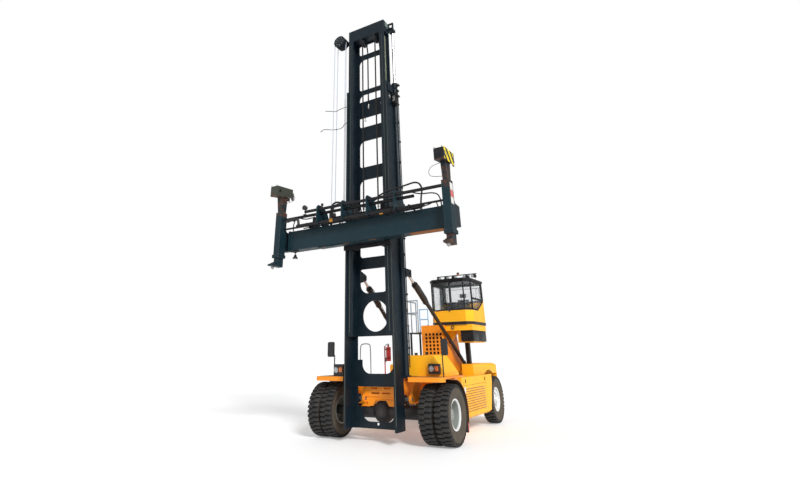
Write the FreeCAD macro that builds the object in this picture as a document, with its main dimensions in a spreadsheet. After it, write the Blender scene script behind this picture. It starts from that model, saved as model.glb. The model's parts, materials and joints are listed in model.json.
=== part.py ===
"""Empty container handler with a two-stage mast and a telescopic side-lifting spreader.

Frame: millimetres, +Z up, the mast faces -Y and +X is the machine's left. The origin is the middle of
the machine's box on the floor. Formulas below give y from the drive axle, and the helpers shift them.
"""
import FreeCAD, Part
import math
import os
import re

import Sketcher
from FreeCAD import Placement, Rotation, Vector

SIZES = {
    # whole machine
    "wheel_base": 4600, "front_reach": 1850, "rear_overhang": 1150,
    # tyres and rims
    "tyre_radius": 685, "tyre_width": 375, "rim_radius": 345, "tread_half": 150, "bead_half": 125,
    "drive_outer_x": 1912, "dual_spacing": 425, "steer_wheel_x": 1545,
    "drive_hub_radius": 235, "steer_hub_radius": 150, "spindle_radius": 120, "stub_radius": 90,
    "hand_hole": 32, "hand_hole_circle": 230, "bearing_fit": 0.05, "seat_gap": 0.3,
    # axles
    "axle_tube_radius": 165, "axle_bowl_radius": 285, "axle_half": 1180, "axle_flange": 205,
    "kingpin_x": 1180, "kingpin_radius": 45, "steer_beam_half": 1010, "steer_beam_height": 240,
    "steer_beam_depth": 260, "steer_beam_belly": 40,
    # chassis
    "rail_x": 380, "rail_width": 110, "rail_low": 760, "rail_high": 1400, "frame_front": -180,
    "deck_low": 1430, "deck_high": 1530, "deck_front": -520, "deck_edge": 1990, "deck_inner": 1010,
    "deck_rear": 980, "deck_corner": 150, "deck_sheet": 12, "guard_gap": 90, "guard_thick": 12,
    # mast pivot and tilt
    "pivot_y": -200, "pivot_z": 1000, "pivot_pin": 45, "lug_radius": 105,
    "lug_inner_x": 470, "lug_outer_x": 950, "lug_thick": 50,
    # outer mast
    "mast_half": 790, "mast_front": -790, "mast_rear": -330, "mast_bottom": 310, "mast_top": 10470,
    "web": 30, "flange": 28, "flange_width": 165, "front_lip": 60, "slide_gap": 6, "lift_down": 2090,
    "cross_thick": 40, "cross_side": 62, "window_side": 290,
    # inner mast
    "inner_bottom": 2545, "inner_top": 13090, "inner_play": 22, "inner_width": 193, "inner_web_set": 150,
    "inner_flange": 30, "top_beam": 480, "ladder_side": 40, "chain_sheave": 140, "hose_sheave": 235,
    "hose_sheave_x": 1170,
    # lift cylinders
    "lift_set": 32, "lift_y": -225, "lift_radius": 85, "lift_rod_radius": 45, "lift_base": 1560,
    "gland_wall": 20, "clamp_wall": 18, "clamp_high": 70,
    # carriage and spreader
    "carriage_low": 4930, "carriage_high": 6300, "carriage_play": 25, "frame_half": 1300,
    "foot_half": 800, "frame_front_y": -860, "beam_front": -1250, "beam_rear": -905,
    "beam_low": 5070, "beam_high": 5670, "beam_half": 2650, "beam_wall": 14,
    "leg_x": 2870, "leg_width": 220, "leg_front": -1550, "leg_depth": 280, "leg_low": 4900,
    "leg_high": 6280, "toe_low": 4570, "head_low": 6750, "head_high": 7150, "tube_gap": 10,
    # tilt cylinders
    "tilt_set": 10, "tilt_mast_y": 200, "tilt_mast_z": 4250, "tilt_base_x": 985, "tilt_base_y": 4100,
    "tilt_base_z": 1560, "tilt_barrel_radius": 85, "tilt_tube_radius": 50, "tilt_rod_radius": 40,
    "tilt_eye_half": 44, "tilt_ear_set": 62,
    # bodywork
    "tank_x": 1240, "tank_edge": 1760, "tank_front": 1300, "tank_rear": 3680, "tank_low": 400,
    "tank_high": 1450, "skirt": 60, "hood_left": 700, "hood_right": -500, "hood_front": 1500,
    "hood_rear": 3900, "hood_high": 1950, "sheet_wall": 12, "cover_left": 1780, "cover_right": 350,
    "cover_front": 150, "cover_rear": 1100, "cover_high": 2040, "grille_front": 2480,
    "grille_high": 2920, "grille_right": 70, "grille_left": 815, "grille_low": 1550, "grille_hole": 72,
    "grille_pitch": 127, "walk_right": 620, "walk_high": 2730, "rail_tube": 21,
    # counterweight
    "weight_half": 1500, "weight_front": 4200, "weight_high": 1760, "weight_low": 560,
    "weight_core": 560, "weight_tail": 1150, "weight_round": 480, "arch_high": 1440, "tow_pin_radius": 26,
    # cab
    "cab_left": 1740, "cab_right": 300, "cab_front": 2700, "cab_rear": 4100, "corner_x": 180,
    "corner_y": 250, "cab_sill": 3360, "cab_shoulder": 3690, "shoulder_y": 3450, "cab_roof": 4370,
    "roof_thick": 70, "roof_lip": 25, "cab_wall": 40, "pillar": 60, "window_bar": 3705, "glass": 8,
    "door_front": 3030, "hinge_y": 3766, "hinge_radius": 14, "seat_x": 1100, "shelf_low": 2745,
    "lamp_bar_y": 3400, "lamp_bar_high": 190,
}

RESULTS = {
    "inner_half": "mast_half - web - inner_play",
    "inner_window": "inner_half - inner_width",
    "inner_web_x": "mast_half - inner_web_set",
    "inner_front": "mast_front + flange + slide_gap",
    "inner_rear": "mast_rear - flange - slide_gap",
    "channel_y": "(mast_front + mast_rear) / 2",
    "lift_x": "mast_half + lift_set",
    "tilt_mast_x": "mast_half - tilt_set",
    "carriage_half": "inner_window - carriage_play",
    "beam_middle": "(beam_front + beam_rear) / 2",
    "leg_in": "leg_x - leg_width / 2",
    "leg_out": "leg_x + leg_width / 2",
    "guard_inner": "tyre_radius + guard_gap",
    "frame_rear": "wheel_base + 330",
    "rear_face": "wheel_base + rear_overhang",
    "cab_low": "grille_high + seat_gap",
}
ORIGIN_Y = "(front_reach - wheel_base - rear_overhang) / 2"
TURN_TO = {"x": Rotation(Vector(0, 1, 0), 90), "y": Rotation(Vector(1, 0, 0), -90), "z": Rotation()}
PLANES = {"xy": Rotation(), "xz": Rotation(Vector(1, 0, 0), 90), "yz": Rotation(Vector(1, 1, 1), 120)}

# places of the spreader's tubes: y, z and the radius that each needs in the yokes
REACH_LEFT = ("leg_front + 70", "beam_high + 68")
REACH_RIGHT = ("leg_front + 190", "beam_high + 68")
GUIDE_LEFT = ("leg_front + 70", "beam_high + 480")
GUIDE_RIGHT = ("leg_front + 190", "beam_high + 380")
TUBES = [(*REACH_LEFT, 48), (*REACH_RIGHT, 48), (*GUIDE_LEFT, 51), (*GUIDE_RIGHT, 51)]

doc = FreeCAD.newDocument("container_handler")
sheet = doc.addObject("Spreadsheet::Sheet", "sizes")
for row, (alias, number) in enumerate(SIZES.items(), start=1):
    sheet.set(f"A{row}", alias)
    sheet.set(f"B{row}", str(number))
    sheet.setAlias(f"B{row}", alias)
doc.recompute()

nodes = {}


def named(formula):
    """Formula with each size's name pointed at the sheet and each result's name written out."""
    def word_for(found):
        word = found[0]
        if word in RESULTS:
            return f"({named(RESULTS[word])})"
        return "sizes." + word if word in SIZES else word
    return re.sub(r"[a-z]\w*", word_for, str(formula))


def value(formula):
    """The number that the sheet gives for a formula."""
    sheet.set("D1", "=" + named(formula).replace("sizes.", ""))
    sheet.recompute()
    return float(sheet.get("D1"))


def bind(piece, prop, formula):
    piece.setExpression(prop, named(formula))


def place(piece, x, y, z):
    bind(piece, "Placement.Base.x", x)
    bind(piece, "Placement.Base.y", f"{ORIGIN_Y} + ({y})")
    bind(piece, "Placement.Base.z", z)


def block(name, x, y, z):
    """Box between pairs of formulas, low then high."""
    piece = doc.addObject("Part::Box", name)
    for prop, (low, high) in zip(("Length", "Width", "Height"), (x, y, z)):
        bind(piece, prop, f"({high}) - ({low})")
    place(piece, x[0], y[0], z[0])
    return piece


def rod(name, axis, centre, span, radius):
    """Round bar along x, y or z. The centre gives the other two places, in order."""
    piece = doc.addObject("Part::Cylinder", name)
    bind(piece, "Radius", radius)
    bind(piece, "Height", f"({span[1]}) - ({span[0]})")
    piece.Placement = Placement(Vector(), TURN_TO[axis])
    where = list(centre)
    where.insert("xyz".index(axis), span[0])
    place(piece, *where)
    return piece


def ball(name, centre, radius):
    """Sphere with its poles along x, where the bars that it joins cover them."""
    piece = doc.addObject("Part::Sphere", name)
    bind(piece, "Radius", radius)
    piece.Placement = Placement(Vector(), TURN_TO["x"])
    place(piece, *centre)
    return piece


def outline(name, plane, points):
    """Closed sketch through points whose two coordinates are formulas, on the xz, yz or xy plane."""
    sketch = doc.addObject("Sketcher::SketchObject", name)
    sketch.Placement = Placement(Vector(), PLANES[plane])
    corners = [Vector(value(first), value(second), 0) for first, second in points]
    count = len(corners)
    for index in range(count):
        sketch.addGeometry(Part.LineSegment(corners[index], corners[(index + 1) % count]), False)
    for index in range(count):
        sketch.addConstraint(Sketcher.Constraint("Coincident", index, 2, (index + 1) % count, 1))
    for index, (first, second) in enumerate(points):
        for kind, formula, number in (("DistanceX", first, corners[index].x),
                                      ("DistanceY", second, corners[index].y)):
            spot = sketch.addConstraint(Sketcher.Constraint(kind, -1, 1, index, 1, number))
            sketch.renameConstraint(spot, f"{kind[-1].lower()}_{index}")
            bind(sketch, f"Constraints.{kind[-1].lower()}_{index}", formula)
    return sketch


def prism(name, plane, points, span):
    """Solid between two places along the axis that stands on the sketch's plane."""
    sketch = outline(name + "_outline", plane, points)
    piece = doc.addObject("Part::Extrusion", name)
    piece.Base = sketch
    piece.DirMode = "Custom"
    piece.Dir = {"xy": Vector(0, 0, 1), "xz": Vector(0, 1, 0), "yz": Vector(1, 0, 0)}[plane]
    piece.Solid = True
    bind(piece, "LengthFwd", f"({span[1]}) - ({span[0]})")
    start = {"xy": (0, 0, span[0]), "xz": (0, span[0], 0), "yz": (span[0], 0, 0)}[plane]
    place(sketch, *start)
    return piece


def ring(name, centre, points, angle=360, turn_from=0):
    """Solid of revolution about an x line through centre (y, z). Points are (x, radius)."""
    sketch = outline(name + "_outline", "xy", points)
    sketch.Placement = Placement(Vector(), Rotation(Vector(1, 0, 0), turn_from))
    place(sketch, 0, *centre)
    piece = doc.addObject("Part::Revolution", name)
    piece.Source = sketch
    piece.Axis = Vector(1, 0, 0)
    bind(piece, "Base.y", f"{ORIGIN_Y} + ({centre[0]})")
    bind(piece, "Base.z", centre[1])
    piece.Angle = angle
    piece.Solid = True
    return piece


def cut(name, base, *tools):
    piece = doc.addObject("Part::Cut", name)
    piece.Base = base
    piece.Tool = tools[0] if len(tools) == 1 else join(name + "_tools", *tools)
    return piece


def join(name, *pieces):
    piece = doc.addObject("Part::MultiFuse", name)
    piece.Shapes = list(pieces)
    return piece


def meet(name, *pieces):
    """The room that the pieces share."""
    piece = doc.addObject("Part::MultiCommon", name)
    piece.Shapes = list(pieces)
    return piece


def group(name, *pieces):
    """Separate solids that share a node."""
    piece = doc.addObject("Part::Compound", name)
    piece.Links = list(pieces)
    return piece


def mirror(name, source):
    """Copy on the machine's other side."""
    piece = doc.addObject("Part::Mirroring", name)
    piece.Source = source
    piece.Normal = Vector(1, 0, 0)
    return piece


def on_side(sign, near, far):
    """Span of x on the left (1) or right (-1) side."""
    return (near, far) if sign > 0 else (f"-({far})", f"-({near})")


def round_edges(name, base, axis, radius, ends=(0, 0, 0)):
    """Fillet on the straight edges along the axis, or only on those at the named ends of the box."""
    base.recompute(True)
    along = {"x": Vector(1, 0, 0), "y": Vector(0, 1, 0), "z": Vector(0, 0, 1)}[axis]
    box = base.Shape.BoundBox
    limits = {(0, 1): box.XMax, (0, -1): box.XMin, (1, 1): box.YMax, (1, -1): box.YMin,
              (2, 1): box.ZMax, (2, -1): box.ZMin}
    piece = doc.addObject("Part::Fillet", name)
    piece.Base = base
    chosen = []
    for number, edge in enumerate(base.Shape.Edges, start=1):
        straight = edge.Curve.TypeId == "Part::GeomLine"
        if not straight or abs(edge.tangentAt(edge.FirstParameter) * along) < 0.999:
            continue
        middle = edge.BoundBox.Center
        if all(not end or abs(middle[way] - limits[way, end]) < 1 for way, end in enumerate(ends)):
            size = value(radius)
            chosen.append((number, size, size))
    piece.Edges = chosen
    return piece


def node(name, piece):
    piece.Label = name
    nodes[name] = piece
    return piece


# ---------------------------------------------------------------- wheels
def tyre(name, middle, axle_y):
    half = "tyre_width / 2"
    side = [("bead_half", "rim_radius - 20 + seat_gap"), ("bead_half", "rim_radius + 12"),
            (f"{half} - 30", "rim_radius + 58"), (f"{half} - 6", "rim_radius + 120"),
            (half, "rim_radius + 175"), (f"{half} - 4", "rim_radius + 225"),
            (f"{half} - 16", "tyre_radius - 68"), ("tread_half + 10", "tyre_radius - 20"),
            ("tread_half - 8", "tyre_radius")]
    profile = [(f"{middle} + {x}", radius) for x, radius in side]
    profile += [(f"{middle} - ({x})", radius) for x, radius in reversed(side)]
    return ring(name, (axle_y, "tyre_radius"), profile)


def rim(name, middle, axle_y, dish, hole):
    """Deep rim: barrel inside the tyre's beads, flanges, and a disc at dish from the middle."""
    outside, inside, lip = "rim_radius - 20", "rim_radius - 34", "rim_radius + 8"
    left, right = f"{middle} - bead_half", f"{middle} + bead_half"
    profile = [(f"{left} - 8", "rim_radius - 26"), (f"{left} + 12", inside),
               (f"{middle} + {dish} - 12", inside), (f"{middle} + {dish} - 12", hole),
               (f"{middle} + {dish} + 12", hole), (f"{middle} + {dish} + 12", inside),
               (f"{right} - 12", inside), (f"{right} + 8", "rim_radius - 26"), (f"{right} + 8", lip),
               (f"{right} + 2", lip), (f"{right} + 2", outside), (f"{left} - 2", outside),
               (f"{left} - 2", lip), (f"{left} - 8", lip)]
    return ring(name, (axle_y, "tyre_radius"), profile)


def drive_wheels():
    inner = "drive_outer_x - dual_spacing"
    centre = (0, "tyre_radius")
    tyres = group("drive_tyres", tyre("drive_tyre_outer", "drive_outer_x", 0),
                  tyre("drive_tyre_inner", inner, 0))
    outer_rim = rim("drive_rim_outer", "drive_outer_x", 0, "-110", 150)
    inner_rim = rim("drive_rim_inner", inner, 0, "110", 150)
    hub = rod("drive_hub", "x", centre, (f"{inner} + 98", "drive_outer_x - 60"), "drive_hub_radius")
    cap = rod("drive_hub_cap", "x", centre, ("drive_outer_x - 61", "drive_outer_x + 30"), "spindle_radius")
    bore = rod("drive_hub_bore", "x", centre, (f"{inner} + 90", f"{inner} + 230"),
               "spindle_radius + bearing_fit")
    rims = cut("drive_rims", join("drive_rims_solid", outer_rim, inner_rim, hub, cap), bore)
    node("drive_tyres_left", tyres)
    node("drive_rims_left", rims)
    node("drive_tyres_right", mirror("drive_tyres_mirrored", tyres))
    node("drive_rims_right", mirror("drive_rims_mirrored", rims))


def steer_wheels():
    centre = ("wheel_base", "tyre_radius")
    tread = tyre("steer_tyre", "steer_wheel_x", "wheel_base")
    disc = rim("steer_rim_disc", "steer_wheel_x", "wheel_base", "60", 100)
    hub = rod("steer_hub", "x", centre, ("steer_wheel_x - 60", "steer_wheel_x + 100"), "steer_hub_radius")
    cap = rod("steer_hub_cap", "x", centre, ("steer_wheel_x + 99", "steer_wheel_x + 150"), "stub_radius")
    holes = [rod("steer_hub_bore", "x", centre, ("steer_wheel_x - 70", "steer_wheel_x + 50"),
                 "stub_radius + bearing_fit")]
    for number in range(8):
        turn = math.radians(45 * number + 22.5)
        holes.append(rod(f"hand_hole_{number}", "x",
                         (f"wheel_base + hand_hole_circle * ({math.sin(turn):.4f})",
                          f"tyre_radius + hand_hole_circle * ({math.cos(turn):.4f})"),
                         ("steer_wheel_x + 40", "steer_wheel_x + 80"), "hand_hole"))
    rims = cut("steer_rim", join("steer_rim_solid", disc, hub, cap), *holes)
    node("steer_tyre_left", tread)
    node("steer_rim_left", rims)
    node("steer_tyre_right", mirror("steer_tyre_mirrored", tread))
    node("steer_rim_right", mirror("steer_rim_mirrored", rims))


# ---------------------------------------------------------------- axles and frame
def drive_axle():
    centre = (0, "tyre_radius")
    end = "drive_outer_x - dual_spacing + 215"
    pieces = [rod("axle_tube", "x", centre, ("-axle_half", "axle_half"), "axle_tube_radius"),
              ball("axle_bowl", (0, 0, "tyre_radius"), "axle_bowl_radius"),
              rod("axle_carrier", "y", centre, (0, 330), "axle_bowl_radius - 60"),
              rod("axle_spindle", "x", centre, (f"-({end})", end), "spindle_radius")]
    for sign, side in ((1, "left"), (-1, "right")):
        pieces.append(rod(f"axle_flange_{side}", "x", centre, on_side(sign, "axle_half - 110", "axle_half"),
                          "axle_flange"))
    node("drive_axle", join("drive_axle_body", *pieces))


def steer_axle():
    end, low = "steer_beam_half", "tyre_radius - steer_beam_height / 2"
    high = "tyre_radius + steer_beam_height / 2"
    beam = prism("steer_beam", "xz",
                 [(f"-{end}", low), ("-steer_beam_half * 0.7", f"{low} - steer_beam_belly"),
                  ("steer_beam_half * 0.7", f"{low} - steer_beam_belly"), (end, low), (end, high),
                  (f"-{end}", high)],
                 ("wheel_base - steer_beam_depth / 2", "wheel_base + steer_beam_depth / 2"))
    pieces = [beam]
    for side, sign in (("left", 1), ("right", -1)):
        for level, offset in (("low", -160), ("top", 120)):
            pieces.append(block(f"yoke_{level}_{side}", on_side(sign, "kingpin_x - 250", "kingpin_x + 75"),
                                ("wheel_base - 90", "wheel_base + 90"),
                                (f"tyre_radius + {offset}", f"tyre_radius + {offset} + 40")))
        pieces.append(rod(f"kingpin_{side}", "z", ("kingpin_x" if sign > 0 else "-kingpin_x", "wheel_base"),
                          ("tyre_radius - 170", "tyre_radius + 170"), "kingpin_radius"))
        pieces.append(block(f"steer_saddle_{side}", on_side(sign, "rail_x + 5", "rail_x + rail_width - 5"),
                            ("wheel_base - 100", "wheel_base + 100"),
                            ("tyre_radius + 100", "rail_low + 220")))
    pieces.append(rod("steer_ram", "x", ("wheel_base - steer_beam_depth / 2 - 55", "tyre_radius"),
                      ("-rail_x - 60", "rail_x + 60"), 65))
    node("steer_axle", join("steer_axle_body", *pieces))
    body = block("knuckle_block", ("kingpin_x - 85", "steer_wheel_x - 150"),
                 ("wheel_base - 80", "wheel_base + 80"), ("tyre_radius - 110", "tyre_radius + 110"))
    stub = rod("knuckle_stub", "x", ("wheel_base", "tyre_radius"),
               ("steer_wheel_x - 150", "steer_wheel_x + 40"), "stub_radius")
    bore = rod("kingpin_bore", "z", ("kingpin_x", "wheel_base"), ("tyre_radius - 120", "tyre_radius + 120"),
               "kingpin_radius + bearing_fit")
    knuckle = cut("knuckle", join("knuckle_solid", body, stub), bore)
    node("knuckle_left", knuckle)
    node("knuckle_right", mirror("knuckle_mirrored", knuckle))


def tilt_anchors():
    """Brackets on the frame's rails that hold the tilt cylinders' chassis pins."""
    pieces = []
    level = ("tilt_base_y", "tilt_base_z")
    for side, sign in (("left", 1), ("right", -1)):
        pieces.append(block(f"tilt_base_arm_{side}", on_side(sign, "rail_x + 10", "tilt_base_x + 90"),
                            ("tilt_base_y - 150", "tilt_base_y + 90"), ("rail_high - 1", "rail_high + 26")))
        for name, near, far in (("in", "tilt_base_x - 84", "tilt_base_x - 58"),
                                ("out", "tilt_base_x + 58", "tilt_base_x + 84")):
            ear = prism(f"tilt_ear_{name}_{side}", "yz",
                        [("tilt_base_y - 150", "rail_high + 25"), ("tilt_base_y + 90", "rail_high + 25"),
                         ("tilt_base_y + 60", "tilt_base_z + 60"), ("tilt_base_y + 25", "tilt_base_z + 85"),
                         ("tilt_base_y - 25", "tilt_base_z + 85"), ("tilt_base_y - 60", "tilt_base_z + 60")],
                        on_side(sign, near, far))
            pieces.append(ear)
        pieces.append(rod(f"tilt_base_pin_{side}", "x", level,
                          on_side(sign, "tilt_base_x - 96", "tilt_base_x + 96"), "pivot_pin - 5"))
    return pieces


def chassis_frame():
    high, pieces = "rail_high", []
    front = prism("front_plate", "xz",
                  [(-560, high), (-476, "pivot_z - 33"), (-560, 900), (-613, 798), (-246, 819), (-159, 949),
                   (159, 949), (246, 819), (613, 798), (560, 900), (476, "pivot_z - 33"), (560, high)],
                  ("frame_front", "frame_front + 40"))
    behind = ("frame_front - 5", "frame_front + 45")
    slots = []
    for side, sign in (("left", 1), ("right", -1)):
        slots.append(block(f"upper_slot_{side}", on_side(sign, 104, 300), behind, (1218, 1258)))
        slots.append(block(f"lower_slot_{side}", on_side(sign, 30, 301), behind, (1100, 1140)))
        slots.append(rod(f"lug_hole_{side}", "y", (439 * sign, 885), behind, 32))
    pieces.append(cut("front_plate_cut", front, *slots))
    rail = [("frame_front + 30", "rail_low + 220"), (600, "rail_low + 220"), (850, "rail_low + 40"),
            ("wheel_base - 900", "rail_low + 40"), ("wheel_base - 650", "rail_low + 220"),
            ("frame_rear", "rail_low + 220"), ("frame_rear", high), ("frame_front + 30", high)]
    width = ("-rail_x - rail_width", "rail_x + rail_width")
    pieces.append(block("rear_tie", width, ("frame_rear - 60", "frame_rear"), ("rail_low + 260", high)))
    pieces.append(block("middle_tie", ("-rail_x - 20", "rail_x + 20"), (1200, 1280),
                        ("rail_low + 260", "rail_high - 100")))
    pieces.append(block("engine_cradle", ("-rail_x - 20", "rail_x + 20"),
                        ("hood_front + 900", "hood_front + 1020"), ("rail_low", "rail_low + 60")))
    pieces.append(block("deck_beam", ("-deck_edge + 30", "deck_edge - 30"), (250, 380),
                        ("deck_low + 30", "deck_low + 60")))
    for side, sign in (("left", 1), ("right", -1)):
        pieces.append(prism(f"rail_{side}", "yz", rail, on_side(sign, "rail_x", "rail_x + rail_width")))
        for number, spot in enumerate((1400, 3300)):
            pieces.append(block(f"tank_bearer_{side}_{number}",
                                on_side(sign, "rail_x + rail_width - 1", "tank_x"),
                                (spot, spot + 120), ("rail_high - 180", "rail_high - 40")))
        span = on_side(sign, "rail_x + 5", "rail_x + rail_width - 5")
        pieces.append(block(f"axle_saddle_{side}", span, (-130, 130),
                            ("tyre_radius + 100", "rail_low + 230")))
        pieces.append(block(f"beam_riser_{side}", span, (250, 380), ("rail_high - 1", "deck_low + 31")))
        inner = on_side(sign, "lug_inner_x", "lug_inner_x + lug_thick")
        outer = on_side(sign, "lug_outer_x - lug_thick", "lug_outer_x")
        pieces.append(rod(f"inner_lug_{side}", "x", ("pivot_y", "pivot_z"), inner, "lug_radius"))
        pieces.append(rod(f"outer_lug_{side}", "x", ("pivot_y", "pivot_z"), outer, "lug_radius"))
        pieces.append(prism(f"outer_lug_arm_{side}", "yz",
                            [("pivot_y", "pivot_z - lug_radius"), (240, "pivot_z - lug_radius + 70"),
                             (380, "deck_low - 200"), (380, "deck_low + 31"), (100, "deck_low + 31"),
                             ("pivot_y", "pivot_z + lug_radius")], outer))
    bores = rod("pivot_bore", "x", ("pivot_y", "pivot_z"), ("-lug_outer_x - 10", "lug_outer_x + 10"),
                "pivot_pin")
    seat = rod("axle_seat", "x", (0, "tyre_radius"), ("-axle_half", "axle_half"),
               "axle_tube_radius + seat_gap")
    solid = join("frame_solid", *pieces, *tilt_anchors())
    node("chassis_frame", cut("frame_body", solid, bores, seat))


def tilt_line():
    """Chassis pin, mast pin and the unit vector between them, on the left side."""
    shift = value(ORIGIN_Y)
    low = Vector(value("tilt_base_x"), value("tilt_base_y") + shift, value("tilt_base_z"))
    high = Vector(value("tilt_mast_x"), value("tilt_mast_y") + shift, value("tilt_mast_z"))
    return low, high, (high - low).normalize()


def strut(name, start, end, radius):
    """Round bar on the tilt cylinder's line; start and end are measured from the chassis pin."""
    low, high, along = tilt_line()
    piece = doc.addObject("Part::Cylinder", name)
    bind(piece, "Radius", radius)
    piece.Height = end - start
    piece.Placement = Placement(low + along * start, Rotation(Vector(0, 0, 1), along))
    return piece


def tilt_cylinders():
    low, high, along = tilt_line()
    reach = (high - low).Length
    base = ("tilt_base_y", "tilt_base_z")
    eye = rod("tilt_base_eye", "x", base, ("tilt_base_x - 50", "tilt_base_x + 50"), 85)
    bore = rod("tilt_base_bore", "x", base, ("tilt_base_x - 60", "tilt_base_x + 60"),
               "pivot_pin - 5 + seat_gap")
    stay = strut("tilt_stay", 60, reach - 1290, "tilt_tube_radius")
    tube = strut("tilt_tube", reach - 1300, reach - 480, "tilt_barrel_radius")
    gland = strut("tilt_gland", reach - 560, reach - 480, "tilt_barrel_radius + 12")
    shoe = strut("tilt_shoe", reach - 1345, reach - 1299, "tilt_barrel_radius - 17")
    cavity = strut("tilt_cavity", reach - 1280, reach - 470, "tilt_rod_radius + seat_gap")
    barrel = cut("tilt_barrel", join("tilt_barrel_body", eye, stay, shoe, tube, gland), bore, cavity)
    node("tilt_barrel_left", barrel)
    node("tilt_barrel_right", mirror("tilt_barrel_mirrored", barrel))
    top = ("tilt_mast_y", "tilt_mast_z")
    head = rod("tilt_rod_eye", "x", top, ("tilt_mast_x - tilt_eye_half", "tilt_mast_x + tilt_eye_half"), 82)
    hole = rod("tilt_rod_bore", "x", top, ("tilt_mast_x - 60", "tilt_mast_x + 60"), "pivot_pin - 5 + 16")
    bar = strut("tilt_bar", reach - 1000, reach - 70, "tilt_rod_radius")
    neck = strut("tilt_neck", reach - 180, reach - 60, "tilt_rod_radius + 4")
    piston = cut("tilt_rod", join("tilt_rod_body", head, bar, neck), hole)
    node("tilt_rod_left", piston)
    node("tilt_rod_right", mirror("tilt_rod_mirrored", piston))


# ---------------------------------------------------------------- mast
def outer_mast():
    inside, tips = "mast_half - web", "mast_half - flange_width"
    channel = [("mast_half", "mast_front"), ("mast_half", "mast_rear"), (tips, "mast_rear"),
               (tips, "mast_rear - flange"), (inside, "mast_rear - flange"), (inside, "mast_front + flange"),
               ("mast_half - front_lip", "mast_front + flange"), ("mast_half - front_lip", "mast_front")]
    pieces = [prism("outer_channel", "xy", channel, ("mast_bottom", "mast_top"))]
    lug = ("mast_half - 130", "mast_half - 30")
    pieces.append(block("mast_lug", lug, ("mast_rear - 1", "pivot_y"),
                        ("pivot_z - lug_radius", "pivot_z + lug_radius")))
    pieces.append(rod("mast_lug_eye", "x", ("pivot_y", "pivot_z"), lug, "lug_radius"))
    rear = "lift_y + lift_radius + 25"
    arm = ("tilt_mast_z - 110", "tilt_mast_z + 110")
    near, far = "tilt_mast_x - tilt_ear_set", "tilt_mast_x + tilt_ear_set"
    pieces.append(prism("tilt_arm_inner", "yz",
                        [("mast_rear - 1", "tilt_mast_z - 260"), ("tilt_mast_y + 60", "tilt_mast_z - 90"),
                         ("tilt_mast_y + 95", "tilt_mast_z - 40"), ("tilt_mast_y + 95", "tilt_mast_z + 40"),
                         ("tilt_mast_y + 60", "tilt_mast_z + 90"), ("mast_rear - 1", "tilt_mast_z + 260")],
                        (f"{near} - 24", near)))
    pieces.append(block("tilt_arm_bridge", (f"{near} - 24", f"{far} + 24"), (rear, "tilt_mast_y - 120"), arm))
    pieces.append(block("tilt_arm_outer", (far, f"{far} + 24"), (rear, "tilt_mast_y + 90"), arm))
    pieces.append(rod("tilt_mast_pin", "x", ("tilt_mast_y", "tilt_mast_z"), (f"{near} - 36", f"{far} + 36"),
                      "pivot_pin - 5"))
    pieces.append(block("lift_foot", ("mast_half - 60", "lift_x + lift_radius + 15"),
                        ("mast_rear - 1", "lift_y + lift_radius + 15"), ("lift_base - 60", "lift_base")))
    pieces.append(rod("mast_roller", "x", ("channel_y", "mast_top - 190"),
                      ("inner_web_x + 20", "mast_half - web + 1"),
                      "(mast_rear - mast_front) / 2 - flange - slide_gap - inner_flange - seat_gap"))
    pieces.append(block("roller_box", ("mast_half - 1", "mast_half + 40"),
                        ("channel_y - 150", "channel_y + 150"),
                        ("mast_top - 340", "mast_top - 40")))
    bore = rod("mast_lug_bore", "x", ("pivot_y", "pivot_z"), ("mast_half - 140", "mast_half"),
               "pivot_pin + 0.3")
    hollows = [bore]
    for number, level in enumerate((3150, 4700, 7630, 9060)):
        span = (level, f"{level} + clamp_high")
        pieces.append(rod(f"lift_band_{number}", "z", ("lift_x", "lift_y"), span, "lift_radius + clamp_wall"))
        pieces.append(block(f"lift_clamp_{number}", ("mast_half - 70", "mast_half"),
                            ("mast_rear - 1", "lift_y"),
                            span))
    hollows.append(rod("lift_way", "z", ("lift_x", "lift_y"), ("lift_base", "mast_top + 10"),
                       "lift_radius + seat_gap"))
    left = cut("outer_upright", join("outer_upright_body", *pieces), *hollows)
    node("outer_uprights", group("outer_uprights_pair", left, mirror("outer_upright_mirrored", left)))
    span, back = ("-(mast_half - cross_side)", "mast_half - cross_side"), ("mast_rear",
                                                                           "mast_rear + cross_thick")
    plates = [block(f"outer_cross_{number}", span, back, level)
              for number, level in enumerate(((5600, 5900), (9560, 10200)))]
    for name, low, sill, high, radius in (("foot", "mast_bottom", 465, 800, 230),
                                          ("lower", 1287, 1600, 1950, 240)):
        plate = block(f"{name}_plate", span, back, (low, high))
        window = round_edges(f"{name}_window",
                             block(f"{name}_opening", ("window_side - mast_half", "mast_half - window_side"),
                                   ("mast_rear - 10", "mast_rear + cross_thick + 10"), (sill, high + 50)),
                             "y", radius, (0, 0, -1))
        plates.append(cut(f"{name}_cross", plate, window))
    node("outer_crossmembers", group("outer_crossmembers_set", *plates))
    tube = rod("lift_tube", "z", ("lift_x", "lift_y"), ("lift_base", "mast_top + 60"), "lift_radius")
    gland = rod("lift_gland", "z", ("lift_x", "lift_y"), ("mast_top + 10", "mast_top + 120"),
                "lift_radius + gland_wall")
    hollow = rod("lift_hollow", "z", ("lift_x", "lift_y"), ("lift_base + 400", "mast_top + 130"),
                 "lift_rod_radius + seat_gap")
    barrel = cut("lift_barrel", join("lift_barrel_body", tube, gland), hollow)
    node("lift_barrels", group("lift_barrels_pair", barrel, mirror("lift_barrel_mirrored", barrel)))


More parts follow.
